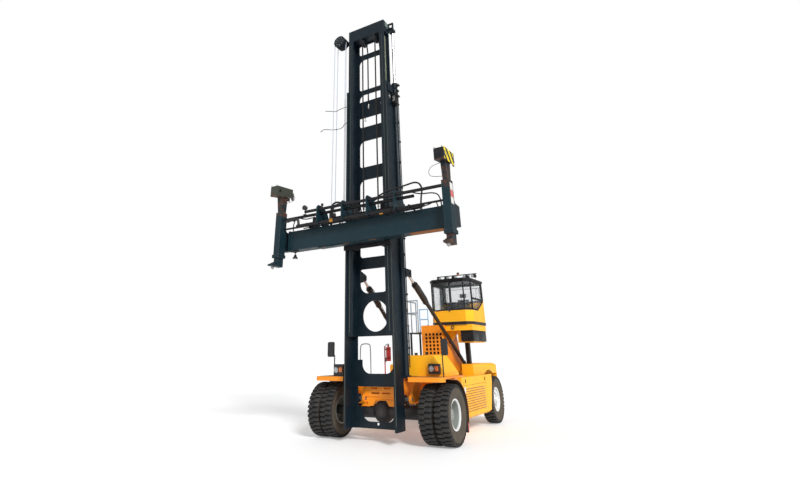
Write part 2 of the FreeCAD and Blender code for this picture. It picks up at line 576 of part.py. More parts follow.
def inner_mast():
    web_in, web_out = "inner_web_x - 15", "inner_web_x + 15"
    front_skin, rear_skin = "inner_front + inner_flange", "inner_rear - inner_flange"
    beam = [("inner_half", "inner_front"), ("inner_half", front_skin), (web_out, front_skin),
            (web_out, rear_skin), ("inner_half", rear_skin), ("inner_half", "inner_rear"),
            ("inner_window", "inner_rear"), ("inner_window", rear_skin), (web_in, rear_skin),
            (web_in, front_skin), ("inner_window", front_skin), ("inner_window", "inner_front")]
    left = prism("inner_upright", "xy", beam, ("inner_bottom", "inner_top - top_beam"))
    node("inner_uprights", group("inner_uprights_pair", left, mirror("inner_upright_mirrored", left)))
    ladder = block("ladder_plate", ("-inner_window", "inner_window"),
                   ("inner_rear - cross_thick", "inner_rear"),
                   ("inner_bottom", "inner_top - top_beam"))
    holes = [rod("ladder_round_hole", "y", (0, 3080), ("mast_front", "mast_rear"), 420)]
    for number, (low, high, foot, top) in enumerate(((3710, 4400, 260, 60), (4740, 7240, 110, 210),
                                                     (7680, 8630, 110, 210), (9150, 10440, 110, 210),
                                                     (10620, 11920, 110, 210), (12130, 12560, 110, 60))):
        hole = block(f"ladder_hole_{number}", ("-inner_window + ladder_side", "inner_window - ladder_side"),
                     ("mast_front", "mast_rear"), (low, high))
        lower = round_edges(f"ladder_foot_{number}", hole, "y", foot, (0, 0, -1))
        holes.append(round_edges(f"ladder_window_{number}", lower, "y", top, (0, 0, 1)))
    node("inner_ladder", cut("inner_ladder_plate", ladder, *holes))
    pieces = [block("head_beam", ("-inner_half", "inner_half"), ("inner_front", "inner_rear"),
                    ("inner_top - top_beam", "inner_top"))]
    for side, sign in (("left", 1), ("right", -1)):
        pieces.append(block(f"lift_cap_{side}", on_side(sign, "inner_half - 40", "lift_x + 90"),
                            ("inner_rear - 40", "lift_y + lift_rod_radius + 15"),
                            ("inner_top - 290", "inner_top - 190")))
    for number, spot in enumerate((-170, 350)):
        pieces.append(block(f"sheave_hanger_{number}", (spot - 60, spot - 42),
                            ("channel_y - 60", "channel_y + 60"),
                            ("inner_top - top_beam - 170", "inner_top - top_beam + 1")))
        pieces.append(rod(f"chain_sheave_{number}", "x", ("channel_y", "inner_top - top_beam - 130"),
                          (spot - 43, spot + 40), "chain_sheave"))
    low, high = "inner_top - 250", "inner_top - 10"
    eye = block("loop_body", ("inner_half - 1", "inner_half + 210"), ("inner_rear - 70", "inner_rear - 5"),
                (low, high))
    gap = block("loop_gap", ("inner_half + 30", "inner_half + 165"), ("inner_rear - 80", "inner_rear + 5"),
                (f"{low} + 40", f"{high} - 40"))
    pieces.append(cut("loop_bracket", eye, gap))
    level, front = "inner_top - hose_sheave - 5", ("inner_front - 20", "inner_front + 300")
    pieces.append(rod("hose_drum", "y", ("-hose_sheave_x", level), front, "hose_sheave - 40"))
    for number in range(5):
        start = f"inner_front - 20 + {75 * number}"
        pieces.append(rod(f"hose_flange_{number}", "y", ("-hose_sheave_x", level), (start, f"{start} + 16"),
                          "hose_sheave"))
    pieces.append(block("hose_arm", ("-hose_sheave_x", "1 - inner_half"),
                        ("inner_front + 300", "inner_front + 330"),
                        (f"{level} - 90", f"{level} + 90")))
    node("inner_head", join("inner_head_body", *pieces))
    bar = rod("lift_bar", "z", ("lift_x", "lift_y"), ("lift_base + 410 + lift_down", "inner_top - 290"),
              "lift_rod_radius")
    node("lift_rods", group("lift_rods_pair", bar, mirror("lift_bar_mirrored", bar)))


# ---------------------------------------------------------------- carriage and spreader
def carriage():
    pieces = []
    wheel = "(mast_rear - mast_front) / 2 - flange - slide_gap - inner_flange - seat_gap"
    for side, sign in (("left", 1), ("right", -1)):
        pieces.append(prism(f"carriage_side_{side}", "yz",
                            [("mast_front - 25", "carriage_low"), ("channel_y - 10", "carriage_low"),
                             ("channel_y + 70", "carriage_low + 90"),
                             ("channel_y + 70", "carriage_high - 90"),
                             ("channel_y - 10", "carriage_high"), ("mast_front - 25", "carriage_high")],
                            on_side(sign, "carriage_half - 50", "carriage_half")))
        for number, level in enumerate(("carriage_low + 190", "carriage_high - 190")):
            pieces.append(rod(f"roller_axle_{side}_{number}", "x", ("channel_y", level),
                              on_side(sign, "carriage_half - 1", "inner_window + 10"), 60))
            pieces.append(rod(f"carriage_roller_{side}_{number}", "x", ("channel_y", level),
                              on_side(sign, "inner_window + 6", "inner_web_x - 22"), wheel))
    depth = ("frame_front_y", "mast_front - 20")
    pieces.append(block("carriage_foot", ("-foot_half", "foot_half"), depth,
                        ("carriage_low", "carriage_low + 140")))
    pieces.append(block("carriage_lower_rail", ("-frame_half", "frame_half"), depth,
                        ("beam_low + 10", "beam_low + 170")))
    pieces.append(block("carriage_upper_rail", ("-frame_half", "frame_half"), depth,
                        ("carriage_high - 420", "carriage_high - 260")))
    for number, spot in enumerate((-1000, -640, 600, 960)):
        pieces.append(block(f"carriage_rib_{number}", (spot, f"{spot} + 40"),
                            ("frame_front_y + 15", "mast_front - 20"),
                            ("beam_low + 160", "carriage_high - 410")))
    node("carriage", join("carriage_body", *pieces))


def beam_body():
    """Hollow middle beam with two bays side by side, the shoes that hang it and the yokes on top."""
    levels = ("beam_low + beam_wall", "beam_high - beam_wall")
    skin = block("beam_skin", ("-beam_half", "beam_half"), ("beam_front", "beam_rear"),
                 ("beam_low", "beam_high"))
    ends = ("-beam_half - 10", "beam_half + 10")
    bays = [block("front_bay", ends, ("beam_front + beam_wall", "beam_middle - beam_wall / 2"), levels),
            block("rear_bay", ends, ("beam_middle + beam_wall / 2", "beam_rear - beam_wall"), levels)]
    pieces = [skin]
    for number, level in enumerate((("beam_low + 15", "beam_low + 165"),
                                    ("beam_high - 1", "beam_high + 260"))):
        pieces.append(block(f"slide_shoe_{number}", ("-frame_half + 650", "frame_half - 650"),
                            ("beam_rear - 1", "frame_front_y - seat_gap"), level))
    pieces.append(block("slide_pad", (-1500, 700), ("beam_front + 25", "beam_rear - 90"),
                        ("beam_low - 40", "beam_low + 1")))
    for side, sign in (("left", 1), ("right", -1)):
        span = on_side(sign, "beam_half - 60", "beam_half")
        pieces.append(cut(f"beam_collar_{side}",
                          block(f"collar_skin_{side}", span, ("beam_front - 16", "beam_rear + 16"),
                                ("beam_low - 16", "beam_high + 16")),
                          block(f"collar_hollow_{side}", on_side(sign, "beam_half - 70", "beam_half + 10"),
                                ("beam_front + 1", "beam_rear - 1"), ("beam_low + 1", "beam_high - 1"))))
    for number, spot in enumerate((-1330, -430, 430, 1330)):
        pieces.append(prism(f"yoke_{number}", "yz",
                            [("beam_rear - 40", "beam_high - 1"), ("beam_rear - 40", "beam_high + 260"),
                             ("beam_rear - 150", "beam_high + 480"), ("leg_front + 240", "beam_high + 610"),
                             ("leg_front + 40", "beam_high + 610"), ("leg_front - 20", "beam_high + 540"),
                             ("leg_front - 20", "beam_high + 60"), ("leg_front + 40", "beam_high + 10"),
                             ("beam_front + 10", "beam_high - 1")], (f"{spot} - 20", f"{spot} + 20")))
    slots = []
    for number, (where, level, size) in enumerate(TUBES):
        slots.append(rod(f"tube_slot_{number}", "x", (where, level), (-1500, 1500), size))
    node("spreader_beam", cut("beam_body", join("beam_solid", *pieces), *bays, *slots))


def reach_cylinders():
    barrels = []
    for name, sign, (where, level) in (("left", 1, REACH_LEFT), ("right", -1, REACH_RIGHT)):
        shell = rod(f"reach_shell_{name}", "x", (where, level), on_side(sign, -2150, 1180), 48)
        hollow = rod(f"reach_hollow_{name}", "x", (where, level), on_side(sign, -2120, 1190), "30 + seat_gap")
        barrels.append(cut(f"reach_barrel_{name}", shell, hollow))
    node("reach_barrels", group("reach_barrels_pair", *barrels))


def end_frames():
    """Telescopes that slide in the beam, with the legs, heads, toes and rods that they carry."""
    bays = {"left": ("beam_front + beam_wall + tube_gap", "beam_middle - beam_wall / 2 - tube_gap"),
            "right": ("beam_middle + beam_wall / 2 + tube_gap", "beam_rear - beam_wall - tube_gap")}
    rear = "beam_rear - beam_wall - tube_gap"
    bars = {"left": (REACH_LEFT, GUIDE_LEFT), "right": (REACH_RIGHT, GUIDE_RIGHT)}
    for side, sign in (("left", 1), ("right", -1)):
        tube = block(f"telescope_tube_{side}", on_side(sign, "-beam_half + 180", "leg_in + 12"), bays[side],
                     ("beam_low + beam_wall + seat_gap", "beam_high - beam_wall - tube_gap"))
        hollow = block(f"telescope_hollow_{side}", on_side(sign, "-beam_half + 170", "leg_in - 20"),
                       (f"{bays[side][0]} + 12", f"{bays[side][1]} - 12"),
                       ("beam_low + beam_wall + tube_gap + 12", "beam_high - beam_wall - tube_gap - 12"))
        bracket = prism(f"telescope_bracket_{side}", "yz",
                        [("leg_front + leg_depth", "beam_low - 60"),
                         ("leg_front + leg_depth + 60", "beam_low + 10"),
                         (rear, "beam_low + 30"), (rear, "beam_high - 10"),
                         ("leg_front + leg_depth + 60", "beam_high + 10"),
                         ("leg_front + leg_depth", "beam_high + 80")],
                        on_side(sign, "leg_in + 10", "leg_out"))
        node(f"telescope_{side}", cut(f"telescope_body_{side}",
                                      join(f"telescope_solid_{side}", tube, bracket), hollow))
        pieces = [block(f"leg_column_{side}", on_side(sign, "leg_in", "leg_out"),
                        ("leg_front", "leg_front + leg_depth"), ("leg_low", "leg_high"))]
        pieces.append(prism(f"leg_neck_{side}", "yz",
                            [("leg_front + 35", "leg_high - 1"),
                             ("leg_front + leg_depth - 25", "leg_high - 1"),
                             ("leg_front + leg_depth + 20", "head_low + 110"),
                             ("leg_front - 40", "head_low + 60")],
                            on_side(sign, "leg_in + 35", "leg_out - 35")))
        head = prism(f"leg_head_{side}", "yz",
                     [("-front_reach", "head_low"), ("leg_front + leg_depth + 190", "head_low + 120"),
                      ("leg_front + leg_depth + 190", "head_high"), ("-front_reach", "head_high - 60")],
                     on_side(sign, "leg_in - 30", "leg_out + 30"))
        eye = rod(f"head_eye_{side}", "x", ("-front_reach + 150", "(head_low + head_high) / 2 - 10"),
                  on_side(sign, "leg_in - 40", "leg_out + 40"), 60)
        pieces.append(cut(f"leg_head_cut_{side}", head, eye))
        pieces.append(block(f"leg_collar_{side}", on_side(sign, "leg_in - 25", "leg_out + 25"),
                            ("leg_front - 25", "leg_front + leg_depth + 15"),
                            ("leg_low - 60", "leg_low + 40")))
        pieces.append(block(f"leg_shank_{side}", on_side(sign, "leg_in + 20", "leg_out - 20"),
                            ("leg_front + 20", "leg_front + leg_depth - 30"), ("toe_low + 50", "leg_low")))
        pieces.append(prism(f"leg_toe_{side}", "yz",
                            [("-front_reach + 60", "toe_low"), ("leg_front + leg_depth - 30", "toe_low"),
                             ("leg_front + leg_depth - 30", "toe_low + 160"),
                             ("leg_front + 21", "toe_low + 160"),
                             ("-front_reach + 130", "toe_low + 70"), ("-front_reach + 60", "toe_low + 50")],
                            on_side(sign, "leg_in + 20", "leg_out - 20")))
        node(f"end_leg_{side}", join(f"end_leg_body_{side}", *pieces))
        reach_bar, guide_bar = bars[side]
        node(f"reach_rods_{side}", group(f"reach_rods_pair_{side}",
                                         rod(f"reach_bar_{side}", "x", reach_bar,
                                             on_side(sign, -2040, "leg_in"), 30),
                                         rod(f"guide_bar_{side}", "x", guide_bar,
                                             on_side(sign, -1850, "leg_in"), 45)))


# ---------------------------------------------------------------- bodywork
def pins():
    left = rod("pivot_pin_left", "x", ("pivot_y", "pivot_z"), ("lug_inner_x - 20", "lug_outer_x + 20"),
               "pivot_pin")
    node("mast_pivot_pins", group("pivot_pins_pair", left, mirror("pivot_pin_mirrored", left)))


def decks():
    shell = round_edges("deck_round", block("deck_shell", ("deck_inner", "deck_edge"),
                                            ("deck_front", "deck_rear"),
                                            ("deck_low - 10", "deck_high")), "z", "deck_corner", (1, -1, 0))
    room = round_edges("deck_room_round",
                       block("deck_room", ("deck_inner - 10", "deck_edge - deck_sheet"),
                             ("deck_front + deck_sheet", "deck_rear + 10"),
                             ("deck_low - 20", "deck_low + 60")),
                       "z", "deck_corner - deck_sheet", (1, -1, 0))
    gap = block("deck_wheel_gap", ("deck_edge - deck_sheet - 1", "deck_edge + 10"),
                ("deck_front + deck_corner", "deck_rear + 10"), ("deck_low - 20", "deck_low + 60"))
    side = cut("deck_side", shell, room, gap)
    back = block("deck_back", ("seat_gap - deck_inner", "deck_inner - seat_gap"), (200, "deck_rear"),
                 ("deck_low + 60", "deck_high"))
    node("front_decks", group("front_decks_set", side, mirror("deck_side_mirrored", side), back))
    outer = "guard_inner + guard_thick"
    arc = ring("guard_arc", (0, "tyre_radius"),
               [("tank_x + 60", "guard_inner"), ("deck_edge + 110", "guard_inner"),
                ("deck_edge + 110", outer),
                ("deck_edge + 98", "guard_inner + 28"), ("tank_x + 72", "guard_inner + 28"),
                ("tank_x + 60", outer)],
               110, -20)
    skin = ring("guard_skin", (0, "tyre_radius"),
                [("tank_x + 73", outer), ("deck_edge + 97", outer), ("deck_edge + 97", "guard_inner + 45"),
                 ("tank_x + 73", "guard_inner + 45")], 114, -22)
    stay = block("guard_stay", ("tank_x + 100", "deck_edge - 40"), (-30, 30),
                 ("tyre_radius + guard_inner + 2", "deck_low + 60"))
    guard = join("guard", cut("guard_arc_cut", arc, skin), stay)
    node("mudguards", group("mudguards_pair", guard, mirror("guard_mirrored", guard)))


def side_tanks():
    low, high = "tank_low", "tank_high"
    tank = prism("tank_box", "xz", [("tank_x", low), ("tank_edge - 90", low), ("tank_edge", "tank_low + 60"),
                                    ("tank_edge", high), ("tank_x", high)], ("tank_front", "tank_rear"))
    skirt = prism("tank_skirt", "yz", [("tank_rear - 1", "tank_low + 60"),
                                       ("tank_rear + 40", "tank_low + 60"),
                                       ("tank_rear + 350", 1250), ("tank_rear + 350", high),
                                       ("tank_rear - 1", high)],
                  ("tank_edge - skirt", "tank_edge"))
    locker = round_edges("locker", block("locker_box", ("tank_x - 120", "weight_half"),
                                         ("tank_rear - 560", "weight_front - 30"),
                                         ("tank_high - 1", "weight_high")),
                         "y", 60, (1, 0, 1))
    tank = join("tank", tank, skirt, locker)
    node("side_tanks", group("side_tanks_pair", tank, mirror("tank_mirrored", tank)))


def hood_and_covers():
    hood = round_edges("hood", block("hood_box", ("hood_right", "hood_left"), ("hood_front", "hood_rear"),
                                     ("rail_high", "hood_high")), "y", 60, (0, 0, 1))
    hollow = block("hood_hollow", ("hood_right + sheet_wall", "hood_left - sheet_wall"),
                   ("hood_front + sheet_wall", "hood_rear - sheet_wall"),
                   ("rail_high - 10", "hood_high - 60"))
    node("engine_hood", cut("hood_shell", hood, hollow))
    node("engine_block", block("engine", (-330, 330), ("hood_front + 500", "hood_rear - 500"),
                               ("rail_low + 60", "hood_high - 120")))
    slope = prism("cover_section", "xz", [("cover_right", "deck_high"), ("cover_left", "deck_high"),
                                          ("cover_left", "deck_high + 70"),
                                          ("cover_left - 330", "cover_high"),
                                          ("cover_right", "cover_high")], ("cover_front", "cover_rear"))
    nose = prism("cover_plan", "xy", [("cover_right", "cover_front + 260"),
                                      ("cover_right + 300", "cover_front"),
                                      ("cover_left", "cover_front"), ("cover_left", "cover_rear"),
                                      ("cover_right", "cover_rear")], ("deck_high - 10", "cover_high + 10"))
    node("hydraulic_tank", meet("cover", slope, nose))


def cooler_housing():
    """Sheet housing over the hood's left edge, open below, with a front of square holes."""
    def shell(name, inset, low, low_side, high):
        span = ("grille_right + " + inset, "grille_left - " + inset)
        side = [(f"grille_front + {inset}", low), (f"grille_front + {inset}", f"{high} - {inset}"),
                (f"grille_front + 1090 - {inset}", f"{high} - {inset}"),
                (f"grille_front + 1610 - {inset}", low)]
        above = prism(f"{name}_above", "yz", side, span)
        return cut(name, above, block(f"{name}_hood_room", (0, f"hood_left + seat_gap + {low_side}"),
                                      ("hood_front", "hood_rear + 400"),
                                      ("grille_low - 50", f"hood_high + seat_gap + {low_side}")))
    skin = shell("housing_skin", "0", "grille_low", "0", "grille_high")
    room = shell("housing_room", "sheet_wall", "grille_low - 20", "sheet_wall", "grille_high")
    holes = []
    for row in range(8):
        for column in range(5):
            left = f"grille_left - 40 - {column} * grille_pitch"
            top = f"grille_high - 240 - {row} * grille_pitch * 0.86"
            if row < 6 or column < 1:
                holes.append(block(f"grille_hole_{row}_{column}", (f"{left} - grille_hole", left),
                                   ("grille_front - 10", "grille_front + sheet_wall + 10"),
                                   (f"{top} - grille_hole", top)))
    node("cooler_housing", cut("housing", skin, room, *holes))


def counterweight():
    side = round_edges("weight_side", prism("weight_profile", "yz",
                       [("weight_front", "rail_high"), ("weight_front", "weight_high"),
                        ("rear_face", "weight_high"),
                        ("rear_face", "weight_low"), ("frame_rear", "weight_low"),
                        ("frame_rear", "rail_high")],
                       ("-weight_half", "weight_half")), "x", "weight_round", (0, 1, 1))
    top = round_edges("weight_plan", block("weight_box", ("-weight_half", "weight_half"),
                                           ("weight_front - 50", "rear_face"), ("weight_low", "weight_high")),
                      "z", 300, (0, 1, 0))
    back = round_edges("weight_back", block("weight_slab", ("-weight_half", "weight_half"),
                                            ("weight_front - 50", "rear_face"),
                                            ("weight_low", "weight_high")),
                       "y", 130, (0, 0, 1))
    arch = rod("weight_arch", "x", ("wheel_base", "tyre_radius"), ("weight_core", "weight_half + 10"),
               "tyre_radius + 190")
    swing = block("weight_swing", ("weight_core", "weight_half + 10"),
                  ("weight_front - 10", "wheel_base + 890"),
                  ("weight_low - 10", "arch_high"))
    tail = prism("weight_tail_cut", "yz", [("wheel_base + 500", "weight_low - 10"),
                                           ("rear_face + 10", "weight_low - 10"),
                                           ("rear_face + 10", "arch_high - 60"),
                                           ("wheel_base + 700", "arch_high - 240")],
                 ("weight_tail", "weight_half + 10"))
    jaw = block("tow_jaw", (-90, 90), ("rear_face - 140", "rear_face + 10"),
                ("weight_low + 90", "weight_low + 180"))
    bore = rod("tow_bore", "z", (0, "rear_face - 70"), ("weight_low - 10", "weight_low + 300"),
               "tow_pin_radius")
    tools = [arch, swing, tail]
    tools += [mirror(f"{name}_mirrored", tool) for name, tool in zip(("arch", "swing", "tail"), tools)]
    node("counterweight", cut("weight_body", meet("weight", side, top, back), *tools, jaw, bore))


# ---------------------------------------------------------------- cab
def cab_plan(inset):
    """Plan of the cab's walls at a distance inside the outer faces; both front corners are cut off."""
    wide, deep = value("corner_x"), value("corner_y")
    slant = math.hypot(wide, deep)
    shoulder = f"cab_front + corner_y + ({inset}) * {(slant - deep) / wide:.5f}"
    nose = f"corner_x + ({inset}) * {(slant - wide) / deep:.5f}"
    front, rear = f"cab_front + ({inset})", f"cab_rear - ({inset})"
    left, right = f"cab_left - ({inset})", f"cab_right + ({inset})"
    return [(right, rear), (left, rear), (left, shoulder), (f"cab_left - ({nose})", front),
            (f"cab_right + ({nose})", front), (right, shoulder)]


def corner_slab(name, sign, ends, depth, levels):
    """Slab along a cut corner; ends are shares of its length and depth is measured inwards."""
    wide, deep = value("corner_x"), value("corner_y")
    slant = math.hypot(wide, deep)
    points = []
    for share, inward in ((ends[0], depth[0]), (ends[1], depth[0]), (ends[1], depth[1]), (ends[0], depth[1])):
        step = f"{share} * corner_x + ({inward}) * {deep / slant:.5f}"
        x = f"cab_left - ({step})" if sign > 0 else f"cab_right + ({step})"
        points.append((x, f"cab_front + {1 - share:.3f} * corner_y + ({inward}) * {wide / slant:.5f}"))
    return prism(name, "xy", points, levels)


def hinge_pair(name, low_end):
    """Two fixed barrels and their leaf, above and below the door's own barrel."""
    hinge = ("cab_right - hinge_radius - 2", "hinge_y")
    leaf = block(f"{name}_leaf", ("cab_right - 4", "cab_right + 1"), ("hinge_y", "hinge_y + 90"),
                 (low_end, f"{low_end} + 180"))
    lower = rod(f"{name}_lower", "z", hinge, (low_end, f"{low_end} + 60"), "hinge_radius")
    upper = rod(f"{name}_upper", "z", hinge, (f"{low_end} + 120", f"{low_end} + 180"), "hinge_radius")
    space = block(f"{name}_space", ("cab_right - 40", "cab_right + 2"), ("hinge_y - 20", "hinge_y + 20"),
                  (f"{low_end} + 60", f"{low_end} + 120"))
    return cut(f"{name}_pair", join(f"{name}_solid", leaf, lower, upper), space)


def cab_shell():
    low = [("cab_front - 10", "cab_low"), ("cab_rear + 10", "cab_low"), ("cab_rear + 10", "cab_shoulder"),
           ("cab_rear - 10", "cab_shoulder"), ("shoulder_y", "cab_sill"), ("cab_front - 10", "cab_sill")]
    high = [("shoulder_y", "cab_sill"), ("cab_rear - 10", "cab_shoulder"), ("cab_rear + 10", "cab_shoulder"),
            ("cab_rear + 10", "cab_roof"), ("cab_front - 10", "cab_roof"), ("cab_front - 10", "cab_sill")]
    across = ("cab_right - 50", "cab_left + 50")
    doorway = block("doorway", ("cab_right - 10", "cab_right + cab_wall + 10"), ("door_front", "hinge_y + 4"),
                    ("cab_low + 60", "cab_roof - 100"))
    tub = meet("tub", prism("tub_plan", "xy", cab_plan("0"), ("cab_low", "cab_roof")),
               prism("tub_side", "yz", low, across))
    room = prism("cab_room", "xy", cab_plan("cab_wall"), ("cab_low + 60", "cab_roof - roof_thick"))
    lip = cut("sill_lip", prism("lip_plan", "xy", cab_plan("-8"), ("cab_low", "cab_low + 90")),
              block("lip_door_room", ("cab_right - 60", "cab_right"), ("door_front - 40", "cab_rear + 60"),
                    ("cab_low - 10", "cab_low + 100")))
    body = cut("cab_body_shell", join("tub_and_lip", tub, lip), room, doorway)
    node("cab_body", join("cab_body_set", body, hinge_pair("low_hinge", "cab_low + 150")))

    frame = meet("cab_top", prism("frame_plan", "xy", cab_plan("0"), ("cab_low", "cab_roof")),
                 prism("frame_side", "yz", high, across))
    roof = prism("roof", "xy", cab_plan("-roof_lip"), ("cab_roof - roof_thick", "cab_roof"))
    glazed = ("cab_sill + 25", "cab_roof - 110")
    wide = ("cab_right + corner_x + 15", "cab_left - corner_x - 15")
    front = block("front_window", wide, ("cab_front - 10", "cab_front + cab_wall + 10"), glazed)
    back = block("back_window", ("cab_right + pillar + 20", "cab_left - pillar - 20"),
                 ("cab_rear - cab_wall - 10", "cab_rear + 10"), ("cab_shoulder + 40", "cab_roof - 130"))
    upper = round_edges("upper_window", block("upper_window_box",
                                              ("cab_left - cab_wall - 10", "cab_left + 10"),
                        ("cab_front + corner_y + 20", "cab_rear - 75"),
                        ("window_bar + 45", "cab_roof - 110")), "x", 40)
    lower = prism("lower_window", "yz", side_pane_outline(), ("cab_left - cab_wall - 10", "cab_left + 10"))
    corners = [corner_slab(f"corner_window_{side}", sign, (0.06, 0.94), (-30, 70), glazed)
               for side, sign in (("left", 1), ("right", -1))]
    shell = cut("cab_frame_shell", join("frame_and_roof", frame, roof), room, front, back, upper, lower,
                *corners, doorway)
    node("cab_frame", join("cab_frame_set", shell, hinge_pair("top_hinge", "cab_roof - 400")))
    mid, far = "cab_wall / 2 - glass / 2", "cab_wall / 2 + glass / 2"
    panes = [block("front_pane", wide, (f"cab_front + {mid}", f"cab_front + {far}"), glazed),
             block("back_pane", ("cab_right + pillar + 20", "cab_left - pillar - 20"),
                   (f"cab_rear - ({far})", f"cab_rear - ({mid})"), ("cab_shoulder + 40", "cab_roof - 130")),
             round_edges("upper_pane", block("upper_pane_box", (f"cab_left - ({far})", f"cab_left - ({mid})"),
                         ("cab_front + corner_y + 20", "cab_rear - 75"),
                         ("window_bar + 45", "cab_roof - 110")), "x", 40),
             prism("lower_pane", "yz", side_pane_outline(), (f"cab_left - ({far})", f"cab_left - ({mid})"))]
    panes += [corner_slab(f"corner_pane_{side}", sign, (0.06, 0.94), (mid, far), glazed)
              for side, sign in (("left", 1), ("right", -1))]
    node("cab_glass", group("cab_glass_set", *panes))


def side_pane_outline():
    """Lower side window, with its sill rising to the rear."""
    return [("cab_front + corner_y + 20", "cab_sill + 25"), ("shoulder_y", "cab_sill + 25"),
            ("cab_rear - 110", "cab_shoulder - 40"), ("cab_rear - 110", "window_bar"),
            ("cab_front + corner_y + 20", "window_bar")]


def cab_doors():
    hinge = ("cab_right - hinge_radius - 2", "hinge_y")
    panel = block("door_panel", ("cab_right + 2", "cab_right + cab_wall - 2"),
                  ("door_front + 8", "hinge_y - 4"),
                  ("cab_low + 68", "cab_roof - 108"))
    light = ("door_front + 68", "hinge_y - 64"), ("cab_sill - 60", "cab_roof - 170")
    window = round_edges("door_light", block("door_light_box",
                                             ("cab_right - 10", "cab_right + cab_wall + 10"), *light),
                         "x", 40)
    barrels = []
    for number, low_end in enumerate(("cab_low + 210 + seat_gap", "cab_roof - 340 + seat_gap")):
        span = (low_end, f"{low_end} + 60 - 2 * seat_gap")
        barrels.append(rod(f"door_barrel_{number}", "z", hinge, span, "hinge_radius"))
        barrels.append(block(f"door_leaf_{number}", ("cab_right - 4", "cab_right + 3"),
                             ("hinge_y - 80", "hinge_y"), span))
    node("cab_door", join("cab_door_set", cut("cab_door_body", panel, window), *barrels))
    mid = "cab_wall / 2 - glass / 2"
    pane = block("door_pane_box", (f"cab_right + {mid}", f"cab_right + {mid} + glass"), *light)
    node("cab_door_glass", round_edges("door_pane", pane, "x", 40))


def cab_inside():
    low = "cab_low + 60"
    seat = [block("seat_base", ("seat_x - 150", "seat_x + 150"), (3380, 3720), (low, "cab_low + 300")),
            block("seat_cushion", ("seat_x - 250", "seat_x + 250"), (3260, 3760),
                  ("cab_low + 300", "cab_low + 430")),
            prism("seat_back", "yz", [(3700, "cab_low + 425"), (3800, "cab_low + 425"),
                                      (3900, "cab_low + 1080"),
                                      (3810, "cab_low + 1080")], ("seat_x - 220", "seat_x + 220"))]
    node("driver_seat", join("driver_seat_body", *seat))
    column = [prism("column_post", "yz", [(2780, low), (2940, low), (3060, "cab_low + 660"),
                                          (2980, "cab_low + 700")],
                    ("seat_x - 50", "seat_x + 50")),
              rod("column_wheel", "z", ("seat_x", 3050), ("cab_low + 655", "cab_low + 685"), 190)]
    node("steering_column", join("steering_column_body", *column))


def cab_mounts():
    shelf = block("pedestal_shelf", ("grille_left + seat_gap", "cab_left - 10"),
                  ("cab_front + 30", "cab_rear - 10"),
                  ("shelf_low", "cab_low - seat_gap"))
    tray = block("battery_tray", (1160, "cab_left - 60"), ("cab_front + 200", "cab_rear - 90"), (2390, 2420))
    hangers = [block(f"tray_hanger_{number}", (1160, 1290), (spot, f"{spot} + 60"), (2390, "shelf_low + 1"))
               for number, spot in enumerate(("cab_front + 200", "cab_rear - 150"))]
    brace = prism("shelf_brace", "xz", [("grille_left + seat_gap", "shelf_low - 330"),
                                        ("grille_left + 30", "shelf_low - 330"),
                                        (1160, "shelf_low + 1"), ("grille_left + seat_gap", "shelf_low + 1")],
                  ("cab_front + 300", "cab_front + 420"))
    node("cab_pedestal", join("pedestal_body", shelf, tray, *hangers, brace))
    node("cab_post", block("cab_post_body", (1160, 1290), ("tank_rear - 200", "tank_rear - 50"),
                           ("weight_high", 2390)))
    node("battery_box", round_edges("battery", block("battery_body", (1310, "cab_left - 20"),
                                    ("cab_front + 100", "cab_rear - 30"), (2420, "shelf_low - seat_gap")),
                                    "y", 30))


def roof_lamps():
    level = "cab_roof + lamp_bar_high"
    pieces = [rod("lamp_bar", "x", ("lamp_bar_y", level), ("cab_right + 60", "cab_left + 90"), 16)]
    for number, spot in enumerate((0.02, 0.22, 0.42, 0.78, 0.98)):
        along = f"cab_right + 110 + {spot} * (cab_left - cab_right - 60)"
        pieces.append(rod(f"lamp_{number}", "y", (along, f"{level} - 75"),
                          ("lamp_bar_y - 50", "lamp_bar_y + 30"), 60))
    for number, spot in enumerate((0.1, 0.5, 0.88)):
        along = f"cab_right + {spot} * (cab_left - cab_right)"
        pieces.append(rod(f"lamp_post_{number}", "z", (along, "lamp_bar_y"), ("cab_roof", level), 14))
    pieces.append(rod("beacon", "z", ("cab_right + 0.6 * (cab_left - cab_right)", "lamp_bar_y"),
                      (level, f"{level} + 90"), 45))
    node("roof_lamps", join("roof_lamps_body", *pieces))


# ---------------------------------------------------------------- fittings
def lamps_and_mirrors():
    lamps = [block("lamp_unit_left", (1340, 1660), ("cover_front - 95", "cover_front"), (1585, 1830)),
             block("lamp_unit_right", (-1390, -1070), ("deck_front + 90", "deck_front + 230"),
                   ("deck_high", "deck_high + 310"))]
    node("lamp_units", group("lamp_units_pair", *lamps))
    mirrors = []
    for side, sign, foot, near, far in (("left", 1, 1925, 1925, 2090), ("right", -1, 1440, 1455, 1660)):
        stalk = rod(f"mirror_stalk_{side}", "z", (foot * sign, "deck_front + 200"), ("deck_high", 2060), 16)
        face = block(f"mirror_body_{side}", on_side(sign, near, far),
                     ("deck_front + 150", "deck_front + 215"), (2030, 2430))
        head = round_edges(f"mirror_face_{side}", face, "y", 45)
        arm = block(f"mirror_arm_{side}", on_side(sign, foot - 10, near + 60),
                    ("deck_front + 190", "deck_front + 210"),
                    (2045, 2080))
        mirrors.append(join(f"mirror_{side}", stalk, head, arm))
    node("mirrors", group("mirrors_pair", *mirrors))


